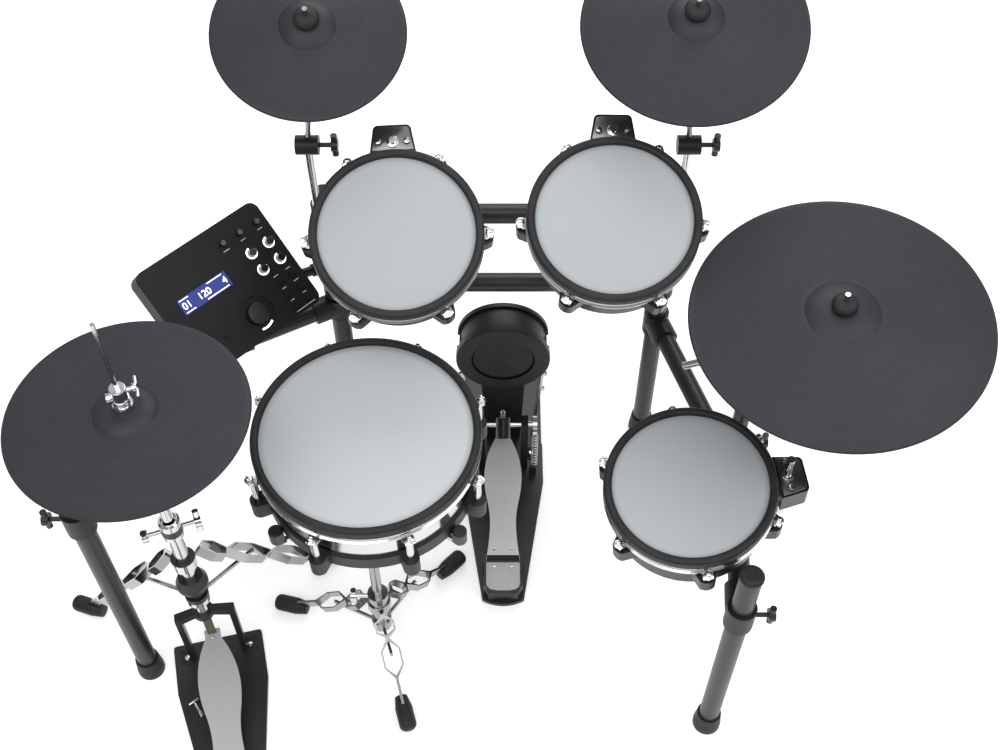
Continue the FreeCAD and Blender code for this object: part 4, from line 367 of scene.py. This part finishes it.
def cymbal_rubber(name, colour, cymbal, pitch):
    """Struck rubber with round grooves on the bow and a smooth bell; painted shade darkens the groove floors.
    """
    made = Finish(name, colour, 0.55, Specular_IOR_Level=0.26)
    at = made.place(cymbal["at"])
    out = made.radius(at)
    wave = (out * (FULL_TURN / pitch)).sine()
    broad = (out * (FULL_TURN / (pitch * 9.3))).sine()
    bow = out.step(cymbal["bell"] * 1.02, cymbal["bell"] * 1.12) * (1.0 - out.step(
        cymbal["radius"] * 0.955, cymbal["radius"] * 0.965))
    grains = made.noise(at, 800.0, 2.0)
    marks = made.noise(at, 9.0, 4.0, 0.6)
    # Random wear marks, plus painted shade: the colour darkens in the groove floors and broad dips, in step
    # with the bump.
    wear_and_groove_shade = marks.step(0.4, 0.8) * 0.35 + (wave * 0.8 + broad * 0.2) * bow * 0.16 + 0.25
    made.tint(wear_and_groove_shade, shaded(colour, 1.55), shaded(colour, 0.86))
    made.drive("Roughness", marks * 0.16 + 0.42 + bow * 0.05)
    made.bump(wave * bow * 0.8 + broad * bow * 0.06 + grains * 0.35, 0.34, 0.0006)
    return made.material


def woven(name, colour, drum, pitch):
    """Two-ply mesh: threads both ways, and painted shade in a darker band just inside the rim, where the rim
    meets the head.
    """
    made = Finish(name, colour, 0.6, Sheen_Weight=0.1, Specular_IOR_Level=0.25)
    at = made.place(drum["at"])
    x, y = made.axes(at)[:2]
    turns = FULL_TURN / pitch
    warp, weft = (x * turns).sine(), (y * turns).sine()
    cloth = warp * weft
    out = made.radius(at)
    # Painted shade: the head's colour darkens towards the rim it meets.
    collar = out.step(drum["inner"] * 0.93, drum["inner"] * 1.0)
    slow = made.noise(at, 5.0, 2.0)
    base = made.mix(cloth * 0.18 + 0.4, shaded(colour, 0.93), shaded(colour, 1.07))
    made.tint(collar * 0.55, shaded(colour, 0.62), base)
    made.drive("Roughness", slow * 0.12 + 0.56)
    made.bump(cloth, 0.10, 0.0003)
    return made.material


def lit_window(name, colour, row_pitch=0.0011):
    """The display: an even glow with faint pixel rows."""
    made = Finish(name, shaded(colour, 0.3)[:3], 0.35, Specular_IOR_Level=0.15)
    up = made.axes(made.place(MODULE))[1]
    rows = (up * (FULL_TURN / row_pitch)).sine()
    glow = made.mix(rows * 0.12 + 0.5, shaded(colour, 0.85), shaded(colour, 1.15))
    made.tree.links.new(glow, made.shader.inputs["Emission Color"])
    made.shader.inputs["Emission Strength"].default_value = 0.8
    return made.material


def lamp(name, colour, strength):
    """A lit light guide."""
    made = Finish(name, colour, 0.4)
    mist = made.noise(made.place(), 300.0, 2.0)
    out = made.mix(mist, shaded(colour, 0.9), shaded(colour, 1.0))
    made.tree.links.new(out, made.shader.inputs["Emission Color"])
    made.shader.inputs["Emission Strength"].default_value = strength
    return made.material


def by_place(name, dark, bright, chosen):
    """A dark coat and bright plating in one material, told apart by where the solids stand."""
    made = Finish(name, dark, 0.38)
    at = made.place()
    slow, fine = made.noise(at, 12.0, 3.0), made.noise(at, 900.0, 2.0)
    plate = chosen(made, at)
    made.tint(plate, shaded(bright, 1.0))
    made.drive("Metallic", plate)
    made.drive("Roughness", (slow * 0.16 + 0.34) * (1.0 - plate) + (slow * 0.1 + 0.05) * plate)
    made.bump(fine * (1.0 - plate), 0.12, 0.0004)
    return made.material


def together(masks):
    """One mask from several that don't meet."""
    total = masks[0]
    for mask in masks[1:]:
        total = total + mask
    return total


def near_stands(made, at):
    """One at the hi-hat and snare stands, nought at the rack."""
    x, y = made.axes(at)[:2]
    inside = []
    for centre in (HAT_AXIS, SNARE_AXIS):
        across, along = x - centre[0], y - centre[1]
        inside.append((across * across + along * along).math("SQRT").below(0.09))
    return together(inside)


def basket_arms(made, at):
    """One on the basket's arms, nought on the rubber hands that stand outside the drum."""
    return made.radius(made.place(DRUMS["snare"]["at"])).below(0.1788)


def collar_bands(made, at):
    """Plated rings on the hi-hat tube: the upper collar's edges, the leg hub and the lower hub's rim."""
    height = made.axes(at)[2]
    bands = ((0.446, 0.458), (0.476, 0.494), (0.346, 0.370), (0.223, 0.236))
    return together([height.between(low, high) for low, high in bands])


def dress(node, material):
    """Give a CAD node its finish."""
    slots = NODES[node].data.materials
    slots.clear()
    slots.append(material)


# Modelling helpers.

def spun(bm, profile, steps, turn=FULL_TURN):
    """Turn a (radius, height) profile about Z; both of its ends may lie on the axis."""
    verts = [bm.verts.new((r, 0.0, z)) for r, z in profile]
    edges = [bm.edges.new(pair) for pair in zip(verts, verts[1:])]
    bmesh.ops.spin(bm, geom=verts + edges, cent=(0, 0, 0), axis=(0, 0, 1), angle=turn, steps=steps,
                   use_merge=turn == FULL_TURN)
    bmesh.ops.remove_doubles(bm, verts=bm.verts, dist=1e-6)
    bmesh.ops.recalc_face_normals(bm, faces=bm.faces)


def block(bm, size, at, edge=0.0, segments=2):
    """A block with softened edges."""
    made = bmesh.ops.create_cube(bm, size=1.0, matrix=at @ Matrix.Diagonal((*size, 1.0)))
    if edge:
        edges = {e for v in made["verts"] for e in v.link_edges}
        bmesh.ops.bevel(bm, geom=list(edges), offset=edge, affect="EDGES", segments=segments, profile=0.5,
                        material=-1)


def barrel(bm, radius, length, at, sides=32, edge=0.0):
    """A short round or many-sided bar along local Z, with softened ends."""
    made = bmesh.ops.create_cone(bm, cap_ends=True, segments=sides, radius1=radius, radius2=radius,
                                 depth=length, matrix=at)
    if edge:
        ends = {e for v in made["verts"] for e in v.link_edges
                if any(len(f.verts) > 4 or sides == 4 for f in e.link_faces)}
        bmesh.ops.bevel(bm, geom=list(ends), offset=edge, affect="EDGES", segments=2, profile=0.5,
                        material=-1)


def add(bm, other, at):
    """Copy a finished small mesh into bm at a place."""
    before = len(bm.verts)
    bm.from_mesh(other)
    bm.verts.ensure_lookup_table()
    bmesh.ops.transform(bm, matrix=at, verts=bm.verts[before:])


def template(make):
    """A small mesh made once and copied to many places."""
    bm = bmesh.new()
    make(bm)
    mesh = bpy.data.meshes.new("copied")
    bm.to_mesh(mesh)
    bm.free()
    return mesh


def piece(name, bm, body, material, replaced=(), smooth=35.0):
    """Finish a bmesh as an object that rides on a CAD body, or on none."""
    mesh = bpy.data.meshes.new(name)
    bm.to_mesh(mesh)
    bm.free()
    mesh.shade_smooth()
    mesh.set_sharp_from_angle(angle=math.radians(smooth))
    made = bpy.data.objects.new(name, mesh)
    bpy.context.scene.collection.objects.link(made)
    mesh.materials.append(material)
    if body:
        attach(made, body)
    if replaced:
        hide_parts(*replaced)
    return made


def arc_plate(bm, inner, outer, heights, sweep, at):
    """A flat part-ring with closed ends, added to bm at a place."""
    low, high = heights
    section = [(inner, low), (inner, high), (outer, high), (outer, low), (inner, low)]
    arc = bmesh.new()
    spun(arc, section, 40, math.radians(sweep))
    bmesh.ops.holes_fill(arc, edges=arc.edges)
    bmesh.ops.recalc_face_normals(arc, faces=arc.faces)
    made = bpy.data.meshes.new("arc")
    arc.to_mesh(made)
    arc.free()
    add(bm, made, at)
    bpy.data.meshes.remove(made)


def raised_plate(bm, right, base, thick, edge, at):
    """A flat plate from the right half of its outline, mirrored, with its top edge softened."""
    outline = right + [(-x, y) for x, y in reversed(right)]
    face = bm.faces.new([bm.verts.new((x, y, base)) for x, y in outline])
    raised = bmesh.ops.extrude_face_region(bm, geom=[face])
    top = [v for v in raised["geom"] if isinstance(v, bmesh.types.BMVert)]
    bmesh.ops.translate(bm, vec=(0, 0, thick), verts=top)
    rim = list({e for v in top for e in v.link_edges if all(w in top for w in e.verts)})
    bmesh.ops.bevel(bm, geom=rim, offset=edge, affect="EDGES", segments=2, profile=0.5, material=-1)
    bmesh.ops.recalc_face_normals(bm, faces=bm.faces)
    bmesh.ops.transform(bm, matrix=at, verts=bm.verts)


def shift(x, y, z):
    return Matrix.Translation((x, y, z))


def spin_z(degrees):
    return Matrix.Rotation(math.radians(degrees), 4, "Z")


def on_panel(across, up):
    """A place on the module's top from shares of its width and depth."""
    return MODULE @ shift(MODULE_WIDE * across, MODULE_DEEP * up, 0.0)


# Operators.

class DRUMKIT_OT_finishes(bpy.types.Operator):
    """Give every CAD node its finish"""
    bl_idname = "drumkit.finishes"
    bl_label = "Finishes"

    def execute(self, context):
        finish, sizes = settings()
        coat = satin_coat("rack_coat", finish.tube)
        plastic = moulded("black_moulding", finish.moulding)
        gloss = moulded("shell_moulding", finish.moulding, 0.34, 0.08)
        panel = moulded("panel_moulding", finish.moulding, 0.55, 0.2, 0.2)
        knob = moulded("knob_moulding", finish.moulding, 0.26, 0.04, 0.5)
        rubber = soft_rubber("grip_rubber", finish.rubber)
        chrome = plated("chrome_plate", finish.chrome)
        steel = plated("steel", (0.56, 0.56, 0.57), 0.16)
        # Painted shade: the stands' legs, tube and posts get a darker copy of the chrome.
        strip = plated("stand_chrome_painted_shade", finish.strip, 0.12)
        groups = {
            coat: ("rack_legs", "rack_bars", "kick_base_plate", "kick_tower", "kick_pedal_base", "hihat_base",
                   "hihat_yoke"),
            plastic: ("rack_clamps", "module_bracket", "kick_pad", "snare_base_ring"),
            panel: ("module_case", "module_buttons"),
            knob: ("module_knobs", "module_dial"),
            gloss: ("tom1_shell", "tom2_shell", "tom3_shell", "kick_beater"),
            rubber: ("rack_feet", "stand_feet", "cymbal_holders", "kick_pad_face", "tom1_rim", "tom2_rim",
                     "tom3_rim", "snare_rim", "hihat_strap"),
            chrome: ("cymbal_poles", "tom_rods", "hihat_tube", "hihat_rod", "snare_shell", "kick_stays",
                     "tom1_hoop", "tom2_hoop", "tom3_hoop", "snare_hoop"),
            strip: ("hihat_legs", "snare_stand_legs", "snare_stand_tube", "snare_post"),
            steel: ("kick_axle", "kick_chain", "kick_spring"),
            by_place("wing_screws", finish.moulding, finish.chrome, near_stands): ("rack_screws",),
            by_place("basket_arms", finish.rubber, finish.chrome, basket_arms): ("snare_basket",),
            by_place("hat_collars", finish.moulding, finish.chrome, collar_bands): ("hihat_collars",),
        }
        for material, names in groups.items():
            for name in names:
                dress(name, material)
        for name, cymbal in CYMBALS.items():
            dress(name, cymbal_rubber(name + "_rubber", finish.cymbal, cymbal, sizes.groove))
        # Painted light: the kick board gets a lighter copy of the heels' alloy, to lift the shade on it.
        dress("kick_footboard", brushed("kick_alloy_painted_light", finish.kick_board_painted_light, KICK_PEDAL))
        # Painted shade: the hi-hat board gets a darker copy of the heels' alloy.
        dress("hihat_footboard", brushed("hihat_alloy_painted_shade", finish.hihat_board_painted_shade, HAT_PEDAL))
        dress("module_display", lit_window("display_glow", finish.screen))
        return {"FINISHED"}


class DRUMKIT_OT_heads(bpy.types.Operator):
    """Stretch a woven head over every drum"""
    bl_idname = "drumkit.heads"
    bl_label = "Mesh heads"

    def execute(self, context):
        finish, sizes = settings()
        turned_over = 0.0122
        for name, drum in DRUMS.items():
            inner, edge, crown = drum["inner"], drum["shell"], sizes.crown
            bm = bmesh.new()
            spun(bm, [
                (0.0, crown), (inner * 0.2, crown * 0.9), (inner * 0.6, crown * 0.35), (inner, 0.0),
                (edge, -0.0002), (edge + 0.0022, -0.0009), (edge + 0.0036, -0.0026), (edge + 0.0040, -0.0090),
                (edge + 0.0008, -0.0090), (edge + 0.0006, -0.0030), (edge - 0.001, -0.0012),
                (0.0, -0.0010)], 128)
            bmesh.ops.transform(bm, matrix=drum["at"], verts=bm.verts)
            # Painted light: the snare's head gets the lighter copy of the mesh colour.
            colour = finish.snare_head if name == "snare" else finish.head
            cloth = piece(name + "_mesh", bm, drum["body"], woven(name + "_weave", colour, drum, sizes.weave),
                          (name + "_head",), 50.0)
            cut = edge + turned_over
            cut * 2
            cut * 2
            math.pi * cut * cut
            name + "_shell"
            name + "_hoop"
        return {"FINISHED"}


class DRUMKIT_OT_lugs(bpy.types.Operator):
    """Bolt the hoops down with claws, washers and square-headed bolts"""
    bl_idname = "drumkit.lugs"
    bl_label = "Tension bolts"

    def execute(self, context):
        finish, sizes = settings()
        chrome = plated("bolt_chrome", finish.chrome, 0.07)

        def bolt(bm):
            block(bm, (0.011, 0.017, 0.006), shift(0.002, 0, 0.003), 0.0016)
            barrel(bm, sizes.bolt * 1.25, 0.003, shift(0.003, 0, 0.0072), 32, 0.0006)
            barrel(bm, sizes.bolt, 0.002, shift(0.003, 0, 0.0094), 24, 0.0004)
            barrel(bm, 0.0042, 0.0075, shift(0.003, 0, 0.0138) @ spin_z(45), 4, 0.0006)

        bolts = template(bolt)
        for name, drum in DRUMS.items():
            bm = bmesh.new()
            for i in range(drum["lugs"]):
                spoke = spin_z(drum["first"] + 360.0 * i / drum["lugs"])
                add(bm, bolts, drum["at"] @ spoke @ shift(drum["circle"] + 0.002, 0, -0.0268))
            piece(name + "_bolts", bm, drum["body"], chrome)
        bpy.data.meshes.remove(bolts)
        return {"FINISHED"}


class DRUMKIT_OT_module(bpy.types.Operator):
    """Light rings, panel marks and the numbers on the display"""
    bl_idname = "drumkit.module_panel"
    bl_label = "Module panel"

    def execute(self, context):
        white = lamp("white_light", (1.0, 0.98, 1.0), 2.2)
        bm = bmesh.new()
        for across, up in LIT_KNOBS:
            arc_plate(bm, 0.0080, 0.0102, (0.0004, 0.0012), 290, on_panel(across, up) @ spin_z(92))
        arc_plate(bm, 0.0258, 0.0290, (-0.0028, -0.0018), 50, on_panel(*DIAL_PLACE) @ spin_z(-106))
        piece("module_rings", bm, "module", white)

        grey = moulded("print_grey", (0.42, 0.42, 0.43), 0.5, 0.02)
        bm = bmesh.new()
        for across, up, wide in PANEL_MARKS:
            block(bm, (wide, MARK_WIDTH, MARK_HEIGHT), on_panel(across, up) @ shift(0, 0, 0.00016))
        piece("module_marks", bm, "module", grey)

        bm = bmesh.new()
        screen = on_panel(*SCREEN_PLACE) @ shift(0, 0, 0.0017)
        for number, x in SCREEN_NUMBERS:
            curve = bpy.data.curves.new("digits", "FONT")
            curve.body, curve.size, curve.extrude = number, NUMBER_TALL, 0.00012
            words = bpy.data.objects.new("digits", curve)
            context.scene.collection.objects.link(words)
            mesh = bpy.data.meshes.new_from_object(words.evaluated_get(context.evaluated_depsgraph_get()))
            bpy.data.objects.remove(words)
            bpy.data.curves.remove(curve)
            add(bm, mesh, screen @ shift(x, NUMBER_LOW, 0.0))
            bpy.data.meshes.remove(mesh)
        for x, y, wide in SCREEN_BARS:
            block(bm, (wide, MARK_WIDTH, MARK_HEIGHT), screen @ shift(x, y, 0.0))
        piece("module_digits", bm, "module", white)
        return {"FINISHED"}


class DRUMKIT_OT_pedal_drive(bpy.types.Operator):
    """The kick pedal's chain and return spring"""
    bl_idname = "drumkit.pedal_drive"
    bl_label = "Pedal drive"

    def execute(self, context):
        sizes = settings()[1]
        steel = plated("drive_steel", (0.55, 0.55, 0.56), 0.14)
        low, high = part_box("kick_chain")
        middle = (low + high) / 2
        step = (high.z - low.z) / sizes.links

        def link(bm):
            for side in (-1, 1):
                block(bm, (0.0011, 0.0046, step * 0.98), shift(side * 0.0026, 0, 0), 0.0005)
                barrel(bm, 0.0026, 0.0011, shift(side * 0.0039, 0, step / 2) @ ALONG_X, 16)
            barrel(bm, 0.0019, 0.0052, shift(0, 0, step / 2) @ ALONG_X, 16)

        links = template(link)
        bm = bmesh.new()
        for i in range(sizes.links):
            add(bm, links, shift(middle.x, middle.y, low.z + step * (i + 0.5)))
        bpy.data.meshes.remove(links)
        piece("kick_links", bm, "kick_footboard", steel, ("kick_chain",))

        def cam_link(bm):
            block(bm, (0.0052, 0.0058, 0.0036), Matrix.Identity(4), 0.0008)
            barrel(bm, 0.0021, 0.0088, ALONG_X, 16)

        cam, cam_radius = KICK_PEDAL @ shift(0, -0.008, 0.150), 0.0262
        first, apart, count = 4.0, 15.0, 9
        links = template(cam_link)
        bm = bmesh.new()
        for i in range(count):
            turn = Matrix.Rotation(math.radians(first + apart * i), 4, "X")
            add(bm, links, cam @ turn @ shift(0, cam_radius, 0))
        bpy.data.meshes.remove(links)
        piece("cam_links", bm, "kick_beater", steel)

        low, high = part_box("kick_spring")
        middle = (low + high) / 2
        wire, bent = 0.0015, 0.035
        radius = (high.x - low.x) / 2 - wire
        bm = bmesh.new()
        bmesh.ops.create_circle(bm, segments=10, radius=wire, cap_ends=True,
                                matrix=shift(radius, 0, 0) @ ALONG_Y)
        steps = sizes.coils * 24
        tall = high.z - low.z - 2 * wire
        bmesh.ops.spin(bm, geom=bm.verts[:] + bm.edges[:] + bm.faces[:], cent=(0, 0, 0), axis=(0, 0, 1),
                       angle=FULL_TURN * sizes.coils, steps=steps, dvec=(0, 0, tall / steps))
        bmesh.ops.remove_doubles(bm, verts=bm.verts, dist=1e-7)
        bmesh.ops.recalc_face_normals(bm, faces=bm.faces)
        bmesh.ops.transform(bm, matrix=shift(middle.x, middle.y, low.z + wire), verts=bm.verts)
        coil = piece("kick_coil", bm, None, steel, ("kick_spring",), 80.0)
        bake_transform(coil)
        return {"FINISHED"}


class DRUMKIT_OT_mounts(bpy.types.Operator):
    """Metal plates and screw heads on the toms' mount boxes"""
    bl_idname = "drumkit.mounts"
    bl_label = "Tom mounts"

    def execute(self, context):
        finish = settings()[0]
        chrome = plated("mount_chrome", finish.chrome, 0.07)
        plate = plated("mount_plate", (0.20, 0.20, 0.21), 0.24)
        near, far, half, narrow, corner = 0.1435, 0.1825, 0.0335, 0.0275, 0.006
        right = [(half, near), (narrow, far - corner), (narrow - corner * 0.3, far - corner * 0.3),
                 (narrow - corner, far)]
        screw_x, screw_y = 0.023, 0.1401 + 0.046 * 0.36
        for name in ("tom1", "tom2", "tom3"):
            at = DRUMS[name]["at"]
            bm = bmesh.new()
            raised_plate(bm, right, -0.0199, 0.0011, 0.0005, at)
            piece(name + "_mount_plate", bm, name, plate)
            bm = bmesh.new()
            for x in (-screw_x, screw_x):
                screw = at @ shift(x, screw_y, -0.0128)
                barrel(bm, 0.0046, 0.0016, screw, 24, 0.0005)
                barrel(bm, 0.0019, 0.0020, screw @ shift(0, 0, 0.0010), 6)
            collar = at @ shift(0, screw_y, -0.0165)
            barrel(bm, 0.0098, 0.0050, collar, 40, 0.0012)
            piece(name + "_mount_screws", bm, name, chrome)
        return {"FINISHED"}


class DRUMKIT_OT_pedal_trim(bpy.types.Operator):
    """Heel plates, screws, hinge covers and plate fittings of both pedals"""
    bl_idname = "drumkit.pedal_trim"
    bl_label = "Pedal trim"

    def execute(self, context):
        finish = settings()[0]
        chrome = plated("trim_chrome", finish.chrome, 0.08)
        black = soft_rubber("hinge_rubber", finish.rubber)
        heel = [(0.033, -0.0115), (0.033, -0.058), (0.0305, -0.0655), (0.0245, -0.0705), (0.012, -0.073)]
        screw_x, screw_z, cup_x, cup_y = 0.017, 0.0041, 0.059, 0.014
        key_x, key_turn = -0.050, spin_z(24)

        def screw(bm):
            barrel(bm, 0.0030, 0.0014, Matrix.Identity(4), 24, 0.0004)
            barrel(bm, 0.0014, 0.0017, Matrix.Identity(4), 6)

        heads = template(screw)
        for name, at in (("kick", KICK_PEDAL), ("hihat", HAT_PEDAL)):
            board = at @ shift(0, HINGE_Y, HINGE_Z) @ Matrix.Rotation(math.radians(BOARD_RISE), 4, "X")
            bm = bmesh.new()
            raised_plate(bm, [(x, HINGE_Y + y) for x, y in heel], 0.0365, 0.0014, 0.0006, at)
            alloy = brushed(name + "_heel_alloy", finish.alloy, at)
            piece(name + "_heel_plate", bm, "stand", alloy)

            bm = bmesh.new()
            for x in (-screw_x, screw_x):
                add(bm, heads, at @ shift(x, HINGE_Y - 0.022, 0.0383))
            for x in (-cup_x, cup_x):
                barrel(bm, 0.0060, 0.0056, at @ shift(x, cup_y, 0.0092) @ shift(0, 0, 0.0022), 6, 0.0006)
            key = at @ shift(key_x, -0.092, 0.0125) @ key_turn
            barrel(bm, 0.0026, 0.032, key @ ALONG_Y, 20, 0.0006)
            barrel(bm, 0.0030, 0.020, key @ shift(0, 0.016, 0) @ ALONG_X, 20, 0.0008)
            barrel(bm, 0.0045, 0.010, key @ shift(0, -0.014, 0) @ ALONG_Y, 4, 0.0006)
            piece(name + "_plate_fittings", bm, "stand", chrome)

            bm = bmesh.new()
            for x, y in ((-screw_x, 0.017), (screw_x, 0.017), (0, 0.264)):
                add(bm, heads, board @ shift(x, y, screw_z))
            piece(name + "_board_screws", bm, name + "_footboard", chrome)

            bm = bmesh.new()
            barrel(bm, 0.0066, 0.0650, board @ ALONG_X, 32, 0.0008)
            piece(name + "_hinge_cover", bm, name + "_footboard", black)

            bm = bmesh.new()
            for x in (-cup_x, cup_x):
                cup = at @ shift(x, cup_y, 0.0094)
                barrel(bm, 0.0140, 0.0020, cup, 40, 0.0006)
                block(bm, (0.026, 0.007, 0.0030), cup @ shift(0, 0.015, 0.0005), 0.001)
            block(bm, (0.014, 0.020, 0.0036), at @ shift(key_x, -0.094, 0.0105) @ key_turn, 0.0012)
            piece(name + "_plate_cups", bm, "stand", black)
        bpy.data.meshes.remove(heads)

        low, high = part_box("hihat_strap")
        middle, tall, inset = (low.z + high.z) / 2, high.z - low.z, 0.006
        bm = bmesh.new()
        block(bm, (0.0165, 0.0024, tall), HAT_PEDAL @ shift(0, HAT_BACK, middle), 0.0008)
        for z in (low.z + inset, high.z - inset):
            barrel(bm, 0.0032, 0.0050, HAT_PEDAL @ shift(0, HAT_BACK, z) @ ALONG_Y, 24, 0.0006)
        strap = plated("strap_brass", (0.24, 0.215, 0.135), 0.34)
        piece("hihat_link", bm, "hihat_top", strap, ("hihat_strap",))
        return {"FINISHED"}


class DRUMKIT_OT_clutch(bpy.types.Operator):
    """The hi-hat clutch's wing bolts and rings"""
    bl_idname = "drumkit.clutch"
    bl_label = "Clutch"

    def execute(self, context):
        finish = settings()[0]
        at, wing_z = leaning((*HAT_AXIS, 0.801), 0, 18), 0.036
        bm = bmesh.new()
        for z, radius in ((0.014, 0.0128), (0.020, 0.0128), (0.043, 0.0120)):
            barrel(bm, radius, 0.0030, at @ shift(0, 0, z), 40, 0.0008)
        barrel(bm, 0.0042, 0.016, at @ shift(0.017, 0, wing_z) @ ALONG_X, 24, 0.0006)
        barrel(bm, 0.0075, 0.007, at @ shift(0.023, 0, wing_z) @ ALONG_X, 32, 0.0012)
        for side in (-1, 1):
            wing = at @ shift(0.026, side * 0.010, wing_z + side * 0.002)
            block(bm, (0.0055, 0.016, 0.0105), wing, 0.0024, 3)
        barrel(bm, 0.0085, 0.010, at @ shift(-0.014, 0, 0.026) @ ALONG_X, 12, 0.0010)
        piece("clutch_wings", bm, "hihat_top", plated("clutch_chrome", finish.chrome, 0.06))
        return {"FINISHED"}


class DRUMKIT_OT_studio(bpy.types.Operator):
    """Pale floor, soft lights and the camera"""
    bl_idname = "drumkit.studio"
    bl_label = "Studio"

    def execute(self, context):
        scene = context.scene
        pale = Finish("studio_floor", (0.86, 0.86, 0.86), 0.7)
        pale.shader.inputs["Emission Color"].default_value = (1, 1, 1, 1)
        pale.shader.inputs["Emission Strength"].default_value = FLOOR_GLOW
        bm = bmesh.new()
        bmesh.ops.create_grid(bm, x_segments=1, y_segments=1, size=FLOOR_HALF)
        mesh = bpy.data.meshes.new("floor")
        bm.to_mesh(mesh)
        bm.free()
        mesh.materials.append(pale.material)
        floor = bpy.data.objects.new("floor", mesh)
        scene.collection.objects.link(floor)

        world = bpy.data.worlds.new("studio")
        scene.world = world
        world.use_nodes = True
        tree = world.node_tree
        back = tree.nodes["Background"]
        coords = tree.nodes.new("ShaderNodeTexCoord")
        split = tree.nodes.new("ShaderNodeSeparateXYZ")
        ramp = tree.nodes.new("ShaderNodeValToRGB")
        tree.links.new(coords.outputs["Generated"], split.inputs[0])
        tree.links.new(split.outputs["Z"], ramp.inputs["Fac"])
        tree.links.new(ramp.outputs["Color"], back.inputs["Color"])
        stops = ramp.color_ramp.elements
        stops[0].color = stops[1].color = (1.0, 1.0, 1.0, 1.0)
        for place, level in SKY:
            stops.new(place).color = (level, level, level * 1.02, 1.0)
        back.inputs["Strength"].default_value = SKY_STRENGTH

        for name, place, size, power in LIGHTS:
            light = bpy.data.lights.new(name, "AREA")
            light.size, light.energy = size, power
            made = bpy.data.objects.new(name, light)
            made.location = place
            made.rotation_euler = (LIT_PLACE - Vector(place)).to_track_quat("-Z", "Y").to_euler()
            scene.collection.objects.link(made)

        data = bpy.data.cameras.new("camera")
        data.sensor_width, data.lens = SENSOR_WIDE, CAMERA_LENS
        data.clip_start, data.clip_end = 0.05, 400.0
        camera = bpy.data.objects.new("camera", data)
        camera.location = CAMERA_PLACE
        camera.rotation_euler = (math.radians(90.0 - CAMERA_DOWN), 0.0, 0.0)
        scene.collection.objects.link(camera)
        scene.camera = camera
        scene.view_settings.view_transform = "Standard"
        return {"FINISHED"}


class DRUMKIT_PT_panel(bpy.types.Panel):
    """Drum kit dressing"""
    bl_idname = "DRUMKIT_PT_panel"
    bl_label = "Drum Kit"
    bl_space_type = "VIEW_3D"
    bl_region_type = "UI"
    bl_category = "Drum Kit"

    def draw(self, context):
        for group in settings():
            for prop in group.bl_rna.properties:
                if prop.identifier not in ("rna_type", "name"):
                    self.layout.prop(group, prop.identifier)
        for operator in OPERATORS:
            self.layout.operator(operator.bl_idname)


OPERATORS = (DRUMKIT_OT_studio, DRUMKIT_OT_finishes, DRUMKIT_OT_heads, DRUMKIT_OT_lugs, DRUMKIT_OT_mounts,
             DRUMKIT_OT_module, DRUMKIT_OT_pedal_drive, DRUMKIT_OT_pedal_trim, DRUMKIT_OT_clutch)
CLASSES = (DrumKitFinish, DrumKitSizes) + OPERATORS + (DRUMKIT_PT_panel,)


def register():
    for item in CLASSES:
        bpy.utils.register_class(item)
    bpy.types.Scene.drum_finish = bpy.props.PointerProperty(type=DrumKitFinish)
    bpy.types.Scene.drum_sizes = bpy.props.PointerProperty(type=DrumKitSizes)


def unregister():
    del bpy.types.Scene.drum_sizes
    del bpy.types.Scene.drum_finish
    for item in reversed(CLASSES):
        bpy.utils.unregister_class(item)


def main():
    register()
    for operator in OPERATORS:
        group, name = operator.bl_idname.split(".")
        getattr(getattr(bpy.ops, group), name)()


if __name__ == "__main__":
    main()
